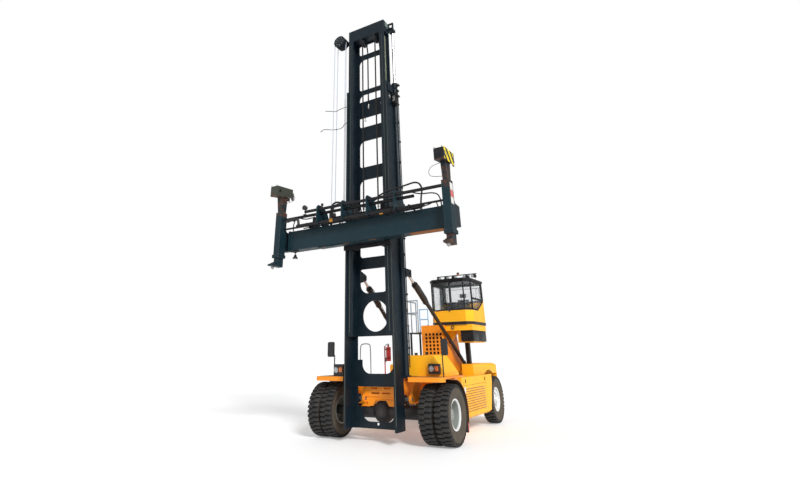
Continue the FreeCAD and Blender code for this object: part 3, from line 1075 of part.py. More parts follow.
def walkway():
    floor = block("walk_floor", ("-walk_right", "grille_right - seat_gap"),
                  ("grille_front + 220", "grille_front + 1060"),
                  ("walk_high - 30", "walk_high"))
    pieces = [floor]
    for number, (near, spot) in enumerate((("hood_right + 20", "grille_front + 260"),
                                           ("hood_right + 20", "grille_front + 960"),
                                           (-40, "grille_front + 260"), (-40, "grille_front + 960"))):
        pieces.append(block(f"walk_leg_{number}", (near, f"{near} + 50"), (spot, f"{spot} + 50"),
                            ("hood_high", "walk_high - 29")))
    node("walkway", join("walkway_body", *pieces))
    left, right, front, rear = "-150", "30 - walk_right", "grille_front + 250", "grille_front + 1030"
    post, corner, top = "rail_tube - 1", "rail_tube + 1", "walk_high + 1020"
    spots = ((left, front), (right, front), (right, "grille_front + 640"), (right, rear))
    upper = [rod(f"upper_post_{number}", "z", spot, ("walk_high", top), post) for number,
             spot in enumerate(spots)]
    upper += [ball(f"upper_corner_{number}", (*spots[number], top), corner) for number in (0, 1, 3)]
    for name, level in (("top", top), ("middle", "walk_high + 620")):
        upper.append(rod(f"upper_{name}_across", "x", (front, level), (right, left), "rail_tube"))
        upper.append(rod(f"upper_{name}_along", "y", (right, level), (front, rear), "rail_tube"))
    edge, ends, top = "hood_right + 60", ("hood_front + 100", "hood_front + 1080"), "hood_high + 1000"
    lower = [rod(f"lower_post_{number}", "z", (edge, spot), ("hood_high", top), post)
             for number, spot in enumerate(ends)]
    lower += [ball(f"lower_corner_{number}", (edge, spot, top), corner) for number, spot in enumerate(ends)]
    for name, level in (("top", top), ("middle", "hood_high + 520")):
        lower.append(rod(f"lower_{name}", "y", (edge, level), ends, "rail_tube"))
    node("handrails", group("handrails_set", join("upper_rails", *upper), join("lower_rails", *lower)))
    near, far, line = -100, "grille_right + 130", "grille_front + 290"
    loop = [rod("access_post_right", "z", (near, line), ("walk_high", "walk_high + 720"), 17),
            rod("access_post_left", "z", (far, line), ("grille_high", "walk_high + 720"), 17),
            rod("access_top", "x", (line, "walk_high + 720"), (near, far), 17),
            rod("access_middle", "x", (line, "walk_high + 400"), (near, far), 17),
            ball("access_corner_right", (near, line, "walk_high + 720"), 17),
            ball("access_corner_left", (far, line, "walk_high + 720"), 17)]
    node("access_rails", join("access_rails_body", *loop))


def small_fittings():
    stack = (-250, "hood_rear - 180")
    node("exhaust_stack", join("exhaust_body",
                               rod("exhaust", "z", stack, ("hood_high", "hood_high + 700"), 80),
                               rod("exhaust_tip", "z", stack, ("hood_high + 699", "hood_high + 1000"), 50)))
    bottle = rod("extinguisher_bottle", "z", (-1150, 2400), ("tank_high + 420", "tank_high + 850"), 80)
    neck = rod("extinguisher_neck", "z", (-1150, 2400), ("tank_high + 849", "tank_high + 900"), 30)
    stand = rod("extinguisher_post", "z", (-1290, 2400), ("tank_high", "tank_high + 880"), "rail_tube")
    clamps = [block(f"extinguisher_clamp_{number}", (-1290, -1150), (2390, 2410), (level, f"{level} + 40"))
              for number, level in enumerate(("tank_high + 480", "tank_high + 760"))]
    node("fire_extinguisher", join("fire_extinguisher_body", bottle, neck, stand, *clamps))


for build in (drive_wheels, steer_wheels, drive_axle, steer_axle, chassis_frame, tilt_cylinders, outer_mast,
              inner_mast, carriage, beam_body, reach_cylinders, end_frames, pins, decks, side_tanks,
              hood_and_covers, cooler_housing, counterweight, cab_shell, cab_doors, cab_inside, cab_mounts,
              roof_lamps, lamps_and_mirrors, walkway, small_fittings):
    build()

doc.recompute()
os.makedirs("parts", exist_ok=True)
for name, piece in nodes.items():
    if {"Invalid", "Error"} & set(piece.State) or piece.Shape.isNull() or not piece.Shape.isValid():
        raise RuntimeError(f"{name} did not build")
    piece.Shape.exportStep(f"parts/{name}.step")
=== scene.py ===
"""Looks of an empty container handler with a raised mast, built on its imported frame.

Metres, +Z up, mast towards -Y. Places along y are measured from the drive axle, except where the frame
gives them.
"""
import json
import math

import bmesh
import bpy
from mathutils import Matrix, Vector


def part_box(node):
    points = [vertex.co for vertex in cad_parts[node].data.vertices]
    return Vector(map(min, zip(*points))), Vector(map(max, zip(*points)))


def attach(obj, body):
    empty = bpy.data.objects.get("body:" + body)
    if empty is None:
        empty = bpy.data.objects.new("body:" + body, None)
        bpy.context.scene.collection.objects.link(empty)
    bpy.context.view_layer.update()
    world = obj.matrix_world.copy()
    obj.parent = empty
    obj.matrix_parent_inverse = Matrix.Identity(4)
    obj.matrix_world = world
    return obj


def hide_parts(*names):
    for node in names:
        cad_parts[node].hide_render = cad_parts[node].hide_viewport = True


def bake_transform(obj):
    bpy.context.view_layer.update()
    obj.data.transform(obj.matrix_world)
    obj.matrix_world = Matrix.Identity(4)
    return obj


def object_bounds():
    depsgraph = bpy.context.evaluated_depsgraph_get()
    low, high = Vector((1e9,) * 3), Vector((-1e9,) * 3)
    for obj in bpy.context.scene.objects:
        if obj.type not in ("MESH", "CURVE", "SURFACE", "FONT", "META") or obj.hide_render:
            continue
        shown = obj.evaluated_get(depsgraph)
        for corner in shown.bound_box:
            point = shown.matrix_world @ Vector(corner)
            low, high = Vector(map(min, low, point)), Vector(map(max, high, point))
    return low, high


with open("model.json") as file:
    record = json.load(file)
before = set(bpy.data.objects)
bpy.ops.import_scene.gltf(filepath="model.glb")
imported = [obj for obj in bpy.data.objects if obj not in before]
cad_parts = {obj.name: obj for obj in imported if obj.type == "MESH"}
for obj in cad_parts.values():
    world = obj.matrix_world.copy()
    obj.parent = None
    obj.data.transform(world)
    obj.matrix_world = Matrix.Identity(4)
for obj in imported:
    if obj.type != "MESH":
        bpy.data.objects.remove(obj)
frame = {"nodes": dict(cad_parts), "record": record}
cad_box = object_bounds()
nodes = frame["nodes"]
TYRE_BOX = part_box("drive_tyres_left")
AXLE_Y = (TYRE_BOX[0][1] + TYRE_BOX[1][1]) / 2
TYRE = TYRE_BOX[1][2] / 2
STEER_Y = sum(corner[1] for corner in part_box("steer_tyre_left")) / 2
SIDES = (("left", 1), ("right", -1))
SMOOTH_BELOW = math.radians(38)
TREAD_BARS = 36
CHAIN_PITCH = 0.0508
CLOTH_FRAMES = 20


# ------------------------------------------------------------------ finishes
def new_material(name):
    """Material with its shader, its output and Object coordinates."""
    material = bpy.data.materials.new(name)
    material.use_nodes = True
    tree = material.node_tree
    shader = tree.nodes["Principled BSDF"]
    place = tree.nodes.new("ShaderNodeTexCoord")
    return material, tree, shader, place.outputs["Object"]


def grey(level):
    """Colour with the same amount of red, green and blue."""
    return (level, level, level, 1)


def shaded(colour, share):
    """The same colour, darker or lighter."""
    return tuple(share * part for part in colour)


def noise(tree, where, scale, detail=4, roughness=0.6):
    """Cloudy pattern from 0 to 1."""
    texture = tree.nodes.new("ShaderNodeTexNoise")
    texture.inputs["Scale"].default_value = scale
    texture.inputs["Detail"].default_value = detail
    texture.inputs["Roughness"].default_value = roughness
    tree.links.new(where, texture.inputs["Vector"])
    return texture.outputs["Fac"]


def stretched(tree, where, scale):
    """Object coordinates scaled by a different amount each way."""
    mapping = tree.nodes.new("ShaderNodeMapping")
    mapping.inputs["Scale"].default_value = scale
    tree.links.new(where, mapping.inputs["Vector"])
    return mapping.outputs["Vector"]


def ramp(tree, factor, low, high, start=grey(0), end=grey(1)):
    """Colour that goes from start to end as the factor goes from low to high."""
    blend = tree.nodes.new("ShaderNodeValToRGB")
    blend.color_ramp.elements[0].position = low
    blend.color_ramp.elements[0].color = start
    blend.color_ramp.elements[1].position = high
    blend.color_ramp.elements[1].color = end
    tree.links.new(factor, blend.inputs["Fac"])
    return blend.outputs["Color"]


def mixed(tree, factor, first, second):
    """Colour between two, each a socket or a plain colour."""
    node = tree.nodes.new("ShaderNodeMix")
    node.data_type = "RGBA"
    tree.links.new(factor, node.inputs["Factor"])
    for socket, colour in ((node.inputs[6], first), (node.inputs[7], second)):
        if isinstance(colour, tuple):
            socket.default_value = (*colour, 1)
        else:
            tree.links.new(colour, socket)
    return node.outputs[2]


def bump(tree, shader, height, strength, distance):
    """Small relief from a pattern."""
    node = tree.nodes.new("ShaderNodeBump")
    node.inputs["Strength"].default_value = strength
    node.inputs["Distance"].default_value = distance
    tree.links.new(height, node.inputs["Height"])
    tree.links.new(node.outputs["Normal"], shader.inputs["Normal"])


def band(tree, where, axis, low, high):
    """1 between two places along an axis, and 0 elsewhere."""
    split = tree.nodes.new("ShaderNodeSeparateXYZ")
    tree.links.new(where, split.inputs["Vector"])
    tests = []
    for operation, edge in (("GREATER_THAN", low), ("LESS_THAN", high)):
        test = tree.nodes.new("ShaderNodeMath")
        test.operation = operation
        test.inputs[1].default_value = edge
        tree.links.new(split.outputs[axis], test.inputs[0])
        tests.append(test.outputs[0])
    both = tree.nodes.new("ShaderNodeMath")
    both.operation = "MULTIPLY"
    tree.links.new(tests[0], both.inputs[0])
    tree.links.new(tests[1], both.inputs[1])
    return both.outputs[0]


def near_wheel(tree, where, axle, radius):
    """1 within a radius of the line through the wheels of one axle, and 0 elsewhere."""
    away = tree.nodes.new("ShaderNodeVectorMath")
    away.operation = "MULTIPLY_ADD"
    away.inputs[1].default_value = (0, 1, 1)
    away.inputs[2].default_value = (0, -axle, -TYRE)
    tree.links.new(where, away.inputs[0])
    reach = tree.nodes.new("ShaderNodeVectorMath")
    reach.operation = "LENGTH"
    tree.links.new(away.outputs["Vector"], reach.inputs[0])
    test = tree.nodes.new("ShaderNodeMath")
    test.operation = "LESS_THAN"
    test.inputs[1].default_value = radius
    tree.links.new(reach.outputs["Value"], test.inputs[0])
    return test.outputs[0]


def edge_wear(tree, shade, bare, amount):
    """Bare metal or primer where the paint has rubbed off, within a few millimetres of a sharp edge."""
    rounded = tree.nodes.new("ShaderNodeBevel")
    rounded.samples = 4
    rounded.inputs["Radius"].default_value = 0.007
    shape = tree.nodes.new("ShaderNodeNewGeometry")
    turn = tree.nodes.new("ShaderNodeVectorMath")
    turn.operation = "DOT_PRODUCT"
    tree.links.new(rounded.outputs["Normal"], turn.inputs[0])
    tree.links.new(shape.outputs["Normal"], turn.inputs[1])
    chips = ramp(tree, turn.outputs["Value"], 0.80, 0.97, grey(amount), grey(0))
    return mixed(tree, chips, shade, bare)


def painted(name, colour, dust=(0.33, 0.29, 0.24), dirt=0.35, gloss=0.42, streaks=0.3, coat=0.15, stripe=(),
            rust=(), inside=None, bare=(0.30, 0.27, 0.24), shine=0.5):
    """Sprayed steel: a little shade drift, dust in patches, rain streaks that run down, and orange-peel bump.

    A stripe is (axis, low, high, colour) in metres, a rusted length is (axis, low, high), and inside is the
    radius round the drive axle within which the paint turns dark brown: painted shade under the mudguard.
    """
    material, tree, shader, place = new_material(name)
    drift = noise(tree, place, 0.9, 3)
    shade = mixed(tree, ramp(tree, drift, 0.3, 0.75), colour, shaded(colour, 0.82))
    for axis, low, high, tint in stripe:
        shade = mixed(tree, band(tree, place, axis, low, high), shade, tint)
    # Painted shade: within the given radius round the drive axle the paint turns dark brown, standing in for
    # the shadow under the mudguard.
    if inside:
        shade = mixed(tree, near_wheel(tree, place, AXLE_Y, inside), shade, (0.055, 0.028, 0.013))
    for axis, low, high in rust:
        bloom = ramp(tree, noise(tree, place, 6, 9, 0.7), 0.43, 0.64)
        rusted = mixed(tree, bloom, shade, (0.090, 0.032, 0.013))
        shade = mixed(tree, band(tree, place, axis, low, high), shade, rusted)
    patches = ramp(tree, noise(tree, place, 3.2, 8, 0.7), 0.52, 0.78, grey(0), grey(dirt))
    dusty = mixed(tree, patches, shade, dust)
    runs = ramp(tree, noise(tree, stretched(tree, place, (9, 9, 0.7)), 2.4, 5, 0.65), 0.56, 0.8,
                grey(0), grey(streaks))
    worn = mixed(tree, runs, dusty,
                 tuple(0.45 * part + 0.25 * dust[index] for index, part in enumerate(colour)))
    tree.links.new(edge_wear(tree, worn, bare, 0.5), shader.inputs["Base Color"])
    rough = ramp(tree, noise(tree, place, 5.5, 6), 0.3, 0.8, grey(gloss), grey(min(1, gloss + 0.3)))
    tree.links.new(rough, shader.inputs["Roughness"])
    shader.inputs["Specular IOR Level"].default_value = shine
    shader.inputs["Coat Weight"].default_value = coat
    shader.inputs["Coat Roughness"].default_value = 0.25
    bump(tree, shader, noise(tree, place, 140, 2), 0.12, 0.002)
    return material


def rusty(name, colour, rust=(0.20, 0.075, 0.025), amount=0.8):
    """Thin paint that rust has broken through."""
    material, tree, shader, place = new_material(name)
    patches = ramp(tree, noise(tree, place, 5, 10, 0.7), 0.42, 0.62, grey(0), grey(amount))
    rust_shade = mixed(tree, noise(tree, place, 30, 6), rust, shaded(rust, 0.4))
    tree.links.new(mixed(tree, patches, colour, rust_shade), shader.inputs["Base Color"])
    tree.links.new(ramp(tree, noise(tree, place, 12, 6), 0.3, 0.7, grey(0.5), grey(0.9)),
                   shader.inputs["Roughness"])
    bump(tree, shader, noise(tree, place, 60, 8), 0.3, 0.003)
    return material


def rolled_steel(name, colour, rough):
    """Bare or plated metal with fine lengthwise marks."""
    material, tree, shader, place = new_material(name)
    marks = noise(tree, stretched(tree, place, (60, 60, 6)), 3, 4)
    tree.links.new(mixed(tree, marks, colour, shaded(colour, 0.7)), shader.inputs["Base Color"])
    tree.links.new(ramp(tree, marks, 0.3, 0.8, grey(rough), grey(rough + 0.2)),
                   shader.inputs["Roughness"])
    shader.inputs["Metallic"].default_value = 1.0
    bump(tree, shader, marks, 0.06, 0.001)
    return material


def rubber(name, colour=(0.011, 0.011, 0.012), dust=(0.10, 0.078, 0.052), amount=0.40, wall=None):
    """Tyre rubber or hose: matt black with brown dust in its pores, and dried mud on a tyre's walls."""
    material, tree, shader, place = new_material(name)
    patches = ramp(tree, noise(tree, place, 4.5, 9, 0.72), 0.46, 0.76, grey(0), grey(amount))
    shade = mixed(tree, patches, colour, dust)
    if wall:
        mud = mixed(tree, noise(tree, place, 7, 8, 0.7), (0.030, 0.025, 0.019), (0.105, 0.080, 0.052))
        for axle in (AXLE_Y, STEER_Y):
            shade = mixed(tree, near_wheel(tree, place, axle, wall), shade, mud)
    tree.links.new(shade, shader.inputs["Base Color"])
    shader.inputs["Roughness"].default_value = 0.78
    bump(tree, shader, noise(tree, place, 90, 6), 0.3, 0.004)
    return material


def plastic(name, colour, rough=0.5):
    """Moulded plastic with a fine grain."""
    material, tree, shader, place = new_material(name)
    grain = noise(tree, place, 220, 2)
    tree.links.new(mixed(tree, noise(tree, place, 6, 5), colour, shaded(colour, 0.75)),
                   shader.inputs["Base Color"])
    shader.inputs["Roughness"].default_value = rough
    bump(tree, shader, grain, 0.15, 0.001)
    return material


def casting(name, colour):
    """Rough foundry surface under a thin coat of paint and oil."""
    material, tree, shader, place = new_material(name)
    stain = ramp(tree, noise(tree, place, 2.6, 7), 0.4, 0.75)
    tree.links.new(mixed(tree, stain, colour, (0.045, 0.034, 0.026)), shader.inputs["Base Color"])
    shader.inputs["Roughness"].default_value = 0.6
    bump(tree, shader, noise(tree, place, 70, 8), 0.45, 0.006)
    return material


def cloth(name, colour):
    """Woven seat cover."""
    material, tree, shader, place = new_material(name)
    threads = tree.nodes.new("ShaderNodeTexWave")
    threads.inputs["Scale"].default_value = 260
    threads.inputs["Distortion"].default_value = 1.5
    tree.links.new(place, threads.inputs["Vector"])
    tree.links.new(mixed(tree, noise(tree, place, 18, 5), colour, shaded(colour, 1.7)),
                   shader.inputs["Base Color"])
    shader.inputs["Roughness"].default_value = 0.92
    shader.inputs["Sheen Weight"].default_value = 0.35
    bump(tree, shader, threads.outputs["Fac"], 0.35, 0.002)
    return material


def glazing(name):
    """Tinted safety glass that shows the room behind it, a little dusty towards the edges."""
    material, tree, shader, place = new_material(name)
    dust = ramp(tree, noise(tree, place, 1.6, 3), 0.45, 0.8, grey(0.02), grey(0.06))
    tree.links.new(dust, shader.inputs["Roughness"])
    shader.inputs["Base Color"].default_value = (0.80, 0.90, 0.93, 1)
    shader.inputs["Transmission Weight"].default_value = 0.92
    shader.inputs["IOR"].default_value = 1.2
    shader.inputs["Alpha"].default_value = 0.18
    return material


def lens(name, colour):
    """Moulded lamp cover with small cells."""
    material, tree, shader, place = new_material(name)
    cells = tree.nodes.new("ShaderNodeTexVoronoi")
    cells.inputs["Scale"].default_value = 90
    tree.links.new(place, cells.inputs["Vector"])
    tree.links.new(mixed(tree, noise(tree, place, 12, 3), colour, shaded(colour, 0.6)),
                   shader.inputs["Base Color"])
    shader.inputs["Roughness"].default_value = 0.18
    shader.inputs["Coat Weight"].default_value = 0.6
    bump(tree, shader, cells.outputs["Distance"], 0.3, 0.002)
    return material


def warning_stripes(name, first, second, turn, scale):
    """Slanted stripes of two paints, scuffed."""
    material, tree, shader, place = new_material(name)
    mapping = tree.nodes.new("ShaderNodeMapping")
    mapping.inputs["Rotation"].default_value = turn
    tree.links.new(place, mapping.inputs["Vector"])
    wave = tree.nodes.new("ShaderNodeTexWave")
    wave.bands_direction = "Z"
    wave.inputs["Scale"].default_value = scale
    tree.links.new(mapping.outputs["Vector"], wave.inputs["Vector"])
    stripes = mixed(tree, ramp(tree, wave.outputs["Fac"], 0.49, 0.51), first, second)
    scuffs = ramp(tree, noise(tree, place, 9, 8, 0.7), 0.55, 0.75, grey(0), grey(0.5))
    tree.links.new(mixed(tree, scuffs, stripes, (0.10, 0.09, 0.07)), shader.inputs["Base Color"])
    shader.inputs["Roughness"].default_value = 0.5
    bump(tree, shader, noise(tree, place, 120, 3), 0.1, 0.001)
    return material


ORANGE, YELLOW, BLACK = (0.90, 0.275, 0.004), (0.98, 0.46, 0.004), (0.006, 0.006, 0.008)
TEAL = (0.0025, 0.0200, 0.0290)
FINISH = {
    "deck_orange": painted("deck_orange", ORANGE, dirt=0.08, streaks=0.10, coat=0.15, shine=0.4),
    "body_yellow": painted("body_yellow", YELLOW, dirt=0.05, streaks=0.06, coat=0.15, shine=0.4),
    "mast_blue": painted("mast_blue", (0.0022, 0.0098, 0.0165), dust=(0.030, 0.040, 0.044), dirt=0.25,
                         gloss=0.36, streaks=0.25, coat=0.0, bare=(0.05, 0.06, 0.065), shine=0.3),
    "spreader_teal": painted("spreader_teal", TEAL, dust=(0.035, 0.042, 0.042), dirt=0.25, gloss=0.38,
                             streaks=0.25, coat=0.0, bare=(0.07, 0.05, 0.035), shine=0.3),
    "frame_black": painted("frame_black", BLACK, dust=(0.04, 0.036, 0.032), dirt=0.25, gloss=0.40, coat=0.05,
                           bare=(0.05, 0.045, 0.04), shine=0.3),
    "cylinder_brown": painted("cylinder_brown", (0.014, 0.009, 0.007), dust=(0.075, 0.045, 0.025), dirt=0.45,
                              gloss=0.38, bare=(0.10, 0.06, 0.03), shine=0.35),
    "rod_chrome": rolled_steel("rod_chrome", (0.78, 0.79, 0.81), 0.14),
    "pin_steel": rolled_steel("pin_steel", (0.42, 0.41, 0.40), 0.38),
    "casting_black": casting("casting_black", (0.011, 0.012, 0.015)),
    "rim_white": painted("rim_white", (0.74, 0.75, 0.75), dust=(0.34, 0.29, 0.22), dirt=0.30, gloss=0.42,
                         streaks=0.1, bare=(0.4, 0.36, 0.3)),
    "tyre_black": rubber("tyre_black", wall=TYRE - 0.085),
    "rail_grey": painted("rail_grey", (0.33, 0.40, 0.47), dirt=0.2),
    "rail_blue": painted("rail_blue", (0.22, 0.47, 0.72), dirt=0.1, streaks=0.1),
    "seat_cloth": cloth("seat_cloth", (0.022, 0.023, 0.028)),
    "plastic_black": plastic("plastic_black", (0.014, 0.014, 0.016)),
    "cab_glass": glazing("cab_glass"),
    "safety_red": painted("safety_red", (0.52, 0.012, 0.010), dirt=0.1, streaks=0.1, coat=0.4),
    "exhaust_steel": rolled_steel("exhaust_steel", (0.10, 0.08, 0.065), 0.5),
    # finishes that this script adds
    "leg_right_paint": painted("leg_right_paint", TEAL, dust=(0.035, 0.042, 0.042), dirt=0.25, gloss=0.42,
                               coat=0.0, stripe=[("Z", 6.77, 7.2, (0.040, 0.046, 0.034))],
                               rust=[("Z", 6.15, 6.85)], shine=0.3),
    "leg_left_paint": painted("leg_left_paint", TEAL, dust=(0.035, 0.042, 0.042), dirt=0.25, gloss=0.42,
                              coat=0.0, stripe=[("Z", 6.77, 7.2, BLACK)],
                              rust=[("Z", 6.05, 6.80), ("Z", 4.5, 4.83)], shine=0.3),
    # Drive rims are painted darker inside |x| < 2 m: painted shade in the deep dish of the rim.
    "rim_painted_recess_shade": painted("rim_painted_recess_shade", (0.74, 0.75, 0.75), dust=(0.34, 0.29, 0.22), dirt=0.30, gloss=0.42,
                          streaks=0.1, stripe=[("X", -2.0, 2.0, (0.25, 0.265, 0.245))],
                          bare=(0.4, 0.36, 0.3)),
    # Pale green paint for a patch on the head's right end face.
    "pale_green_patch": painted("pale_green_patch", (0.135, 0.190, 0.165), dust=(0.20, 0.20, 0.17), dirt=0.5,
                           streaks=0.4),
    # The mudguard's underside, within 0.779 m of the drive axle, gets painted shade in dark brown.
    "guard_paint": painted("guard_paint", ORANGE, dirt=0.12, streaks=0.15, coat=0.3, inside=0.779),
    # Painted shadow: darker orange-brown for the thin strips under the louvres, standing in for the shade
    # each louvre casts.
    "louvre_painted_shadow": painted("louvre_painted_shadow", (0.34, 0.11, 0.003), dirt=0.2),
    "cab_band": painted("cab_band", YELLOW, dirt=0.05, streaks=0.06, coat=0.2, shine=0.4,
                        stripe=[("Z", 2.90, 3.012, BLACK)]),
    "rubber_seal": rubber("rubber_seal", (0.012, 0.012, 0.013), (0.05, 0.045, 0.04), 0.3),
    "hose_rubber": rubber("hose_rubber", (0.010, 0.010, 0.012), (0.06, 0.055, 0.05), 0.3),
    "hose_grey": plastic("hose_grey", (0.46, 0.50, 0.60), 0.55),
    "chain_steel": rolled_steel("chain_steel", (0.055, 0.052, 0.050), 0.45),
    "bright_steel": rolled_steel("bright_steel", (0.66, 0.66, 0.64), 0.28),
    "gland_brass": rolled_steel("gland_brass", (0.62, 0.30, 0.075), 0.35),
    "track_steel": rolled_steel("track_steel", (0.20, 0.21, 0.16), 0.35),
    "reflector_strip": painted("reflector_strip", (0.200, 0.225, 0.075), dirt=0.3, gloss=0.3),
    "bolt_zinc": rolled_steel("bolt_zinc", (0.58, 0.57, 0.54), 0.35),
    "head_grey": rusty("head_grey", (0.055, 0.060, 0.060), amount=0.25),
    "rust_orange": rusty("rust_orange", (0.24, 0.085, 0.020), (0.36, 0.13, 0.03), 0.7),
    "lamp_clear": lens("lamp_clear", (0.42, 0.46, 0.49)),
    "lamp_amber": lens("lamp_amber", (0.85, 0.20, 0.01)),
    "lamp_red": lens("lamp_red", (0.55, 0.01, 0.01)),
    "mirror_glass": rolled_steel("mirror_glass", (0.80, 0.82, 0.84), 0.05),
    "marking_red": painted("marking_red", (0.62, 0.09, 0.08), dust=(0.5, 0.45, 0.42), dirt=0.5),
    "marking_white": painted("marking_white", (0.72, 0.72, 0.70), dust=(0.4, 0.38, 0.35), dirt=0.5),
    "blank_white": painted("blank_white", (0.80, 0.80, 0.78), dirt=0.15, streaks=0.1),
    "hazard_stripes": warning_stripes("hazard_stripes", (0.010, 0.010, 0.010), (0.80, 0.62, 0.01),
                                      (math.radians(48), 0, 0), 1.35),
    "cooler_core": rolled_steel("cooler_core", (0.035, 0.034, 0.033), 0.5),
}
RECOLOURED = {"cab_body": "cab_band", "end_leg_left": "leg_left_paint", "end_leg_right": "leg_right_paint",
              "drive_rims_left": "rim_painted_recess_shade", "drive_rims_right": "rim_painted_recess_shade", "mudguards": "guard_paint"}
for part in frame["record"]["subparts"]:
    nodes[part["node"]].data.materials.clear()
    nodes[part["node"]].data.materials.append(FINISH[RECOLOURED.get(part["node"], part["material_slot"])])


# ------------------------------------------------------------------ ways of shaping
def spot(x, y, z):
    """Point whose y is measured from the drive axle."""
    return Vector((x, y + AXLE_Y, z))


def editing(work):
    """Runs some edit operators on all of the active piece."""
    bpy.ops.object.mode_set(mode="EDIT")
    bpy.ops.mesh.select_all(action="SELECT")
    work()
    bpy.ops.object.mode_set(mode="OBJECT")


def picked(piece):
    """Makes a piece the only one that is selected, and the active one."""
    bpy.ops.object.select_all(action="DESELECT")
    piece.select_set(True)
    bpy.context.view_layer.objects.active = piece


def about(point, angle, axis):
    """Turn by an angle about an axis through a point."""
    pivot = Matrix.Translation(spot(*point))
    return pivot @ Matrix.Rotation(angle, 4, axis) @ pivot.inverted()


def drawn_out(*way):
    """Extrudes what is selected in edit mode."""
    bpy.ops.mesh.extrude_region_move(TRANSFORM_OT_translate={"value": way})


def closed_up():
    """Ends edit mode with every face pointing outwards."""
    bpy.ops.mesh.select_all(action="SELECT")
    bpy.ops.mesh.normals_make_consistent(inside=False)
    bpy.ops.object.mode_set(mode="OBJECT")


def fixed_in_place():
    """Puts the active piece's place and size into its mesh."""
    bpy.ops.object.transform_apply(location=True, rotation=True, scale=True)
    return bpy.context.object


def slab(low, high, edge=0.004):
    """Block between two corners with rounded edges."""
    low, high = spot(*low), spot(*high)
    bpy.ops.object.select_all(action="DESELECT")
    bpy.ops.mesh.primitive_cube_add(size=1, location=(low + high) / 2, scale=high - low)
    piece = fixed_in_place()
    editing(lambda: bpy.ops.mesh.bevel(offset=edge, segments=2, affect="EDGES"))
    return piece


def turned(start, towards, steps, sides=24):
    """Round piece drawn out ring by ring; each step is (distance along its axis, radius)."""
    bpy.ops.object.select_all(action="DESELECT")
    bpy.ops.mesh.primitive_circle_add(vertices=sides, radius=steps[0][1], fill_type="NGON",
                                      location=(0, 0, steps[0][0]))
    piece = fixed_in_place()
    bpy.ops.object.mode_set(mode="EDIT")
    bpy.ops.mesh.select_all(action="SELECT")
    for (last_way, last_radius), (way, radius) in zip(steps, steps[1:]):
        drawn_out(0, 0, way - last_way)
        grow = radius / last_radius
        bpy.ops.transform.resize(value=(grow, grow, 1), center_override=(0, 0, way))
    closed_up()
    piece.rotation_euler = (spot(*towards) - spot(*start)).to_track_quat("Z", "Y").to_euler()
    piece.location = spot(*start)
    return fixed_in_place()


def bar(start, end, radius, sides=16):
    """Straight round bar with chamfered ends."""
    length, edge = (spot(*end) - spot(*start)).length, min(radius * 0.3, 0.006)
    return turned(start, end,
                  [(0, radius - edge), (edge, radius), (length - edge, radius), (length, radius - edge)],
                  sides)


def nut(start, towards, width=0.03, height=0.018, stud=0.6):
    """Hexagon nut on a washer, with the end of its stud."""
    half = width / 2
    return turned(start, towards,
                  [(0, half * 1.35), (height * 0.15, half * 1.35), (height * 0.16, half * 1.12),
                   (height * 0.9, half * 1.12), (height, half), (height * 1.01, half * 0.55),
                   (height * (1 + stud * 0.5), half * 0.5), (height * (1 + stud * 0.6), half * 0.4)], 6)


def line_through(name, points, radius, smoothness):
    """Round curve along a smooth line through a few points, with closed ends."""
    curve = bpy.data.curves.new(name, "CURVE")
    curve.dimensions = "3D"
    curve.bevel_depth = radius
    curve.bevel_resolution = 3
    curve.use_fill_caps = True
    curve.resolution_u = smoothness
    line = curve.splines.new("NURBS")
    line.points.add(len(points) - 1)
    for point, place in zip(line.points, points):
        point.co = (*spot(*place), 1)
    line.order_u = 3
    line.use_endpoint_u = True
    piece = bpy.data.objects.new(name, curve)
    bpy.context.collection.objects.link(piece)
    return piece


def bent(points, radius):
    """Bent round bar or pipe."""
    picked(line_through("bent", points, radius, 6))
    bpy.ops.object.convert(target="MESH")
    return bpy.context.object


def copied(shape, degrees, axis, point):
    """Copy with its own mesh, turned about an axis through a point."""
    twin = shape.copy()
    twin.data = shape.data.copy()
    bpy.context.collection.objects.link(twin)
    twin.data.transform(about(point, math.radians(degrees), axis))
    return twin


def around(shape, centre, axis, count):
    """The shape repeated evenly around an axis, in one mesh."""
    picked(shape)
    share = 2 * math.pi * (count - 1) / count
    editing(lambda: bpy.ops.mesh.spin(steps=count - 1, dupli=True, angle=share, center=spot(*centre),
                                      axis=axis))
    return shape


def row_of(shape, count, step):
    """The shape repeated in a straight row, in one mesh."""
    picked(shape)
    bpy.ops.object.modifier_add(type="ARRAY")
    repeat = shape.modifiers[-1]
    repeat.count = count
    repeat.use_relative_offset = False
    repeat.use_constant_offset = True
    repeat.constant_offset_displace = step
    bpy.ops.object.modifier_apply(modifier=repeat.name)
    return shape


def open_ring(piece):
    """Takes the two end faces off a turned ring and closes it inside."""
    mesh = bmesh.new()
    mesh.from_mesh(piece.data)
    ends = [face for face in mesh.faces if len(face.verts) > 8]
    rims = [sorted(face.edges, key=lambda edge: edge.index) for face in ends]
    bmesh.ops.delete(mesh, geom=ends, context="FACES_ONLY")
    bmesh.ops.bridge_loops(mesh, edges=[edge for rim in rims for edge in rim])
    bmesh.ops.recalc_face_normals(mesh, faces=mesh.faces)
    mesh.to_mesh(piece.data)
    mesh.free()
    return piece


def made(name, coat, body, *shapes):
    """Joins shapes into one finished piece that rides on its body."""
    bpy.ops.object.select_all(action="DESELECT")
    for shape in shapes:
        shape.select_set(True)
    bpy.context.view_layer.objects.active = shapes[0]
    if len(shapes) > 1:
        bpy.ops.object.join()
    piece = bpy.context.view_layer.objects.active
    piece.name = name
    bpy.ops.object.transform_apply(location=True, rotation=True, scale=True)
    bpy.ops.object.shade_smooth_by_angle(angle=SMOOTH_BELOW)
    piece.data.materials.clear()
    piece.data.materials.append(FINISH[coat])
    if body:
        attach(piece, body)
    return piece


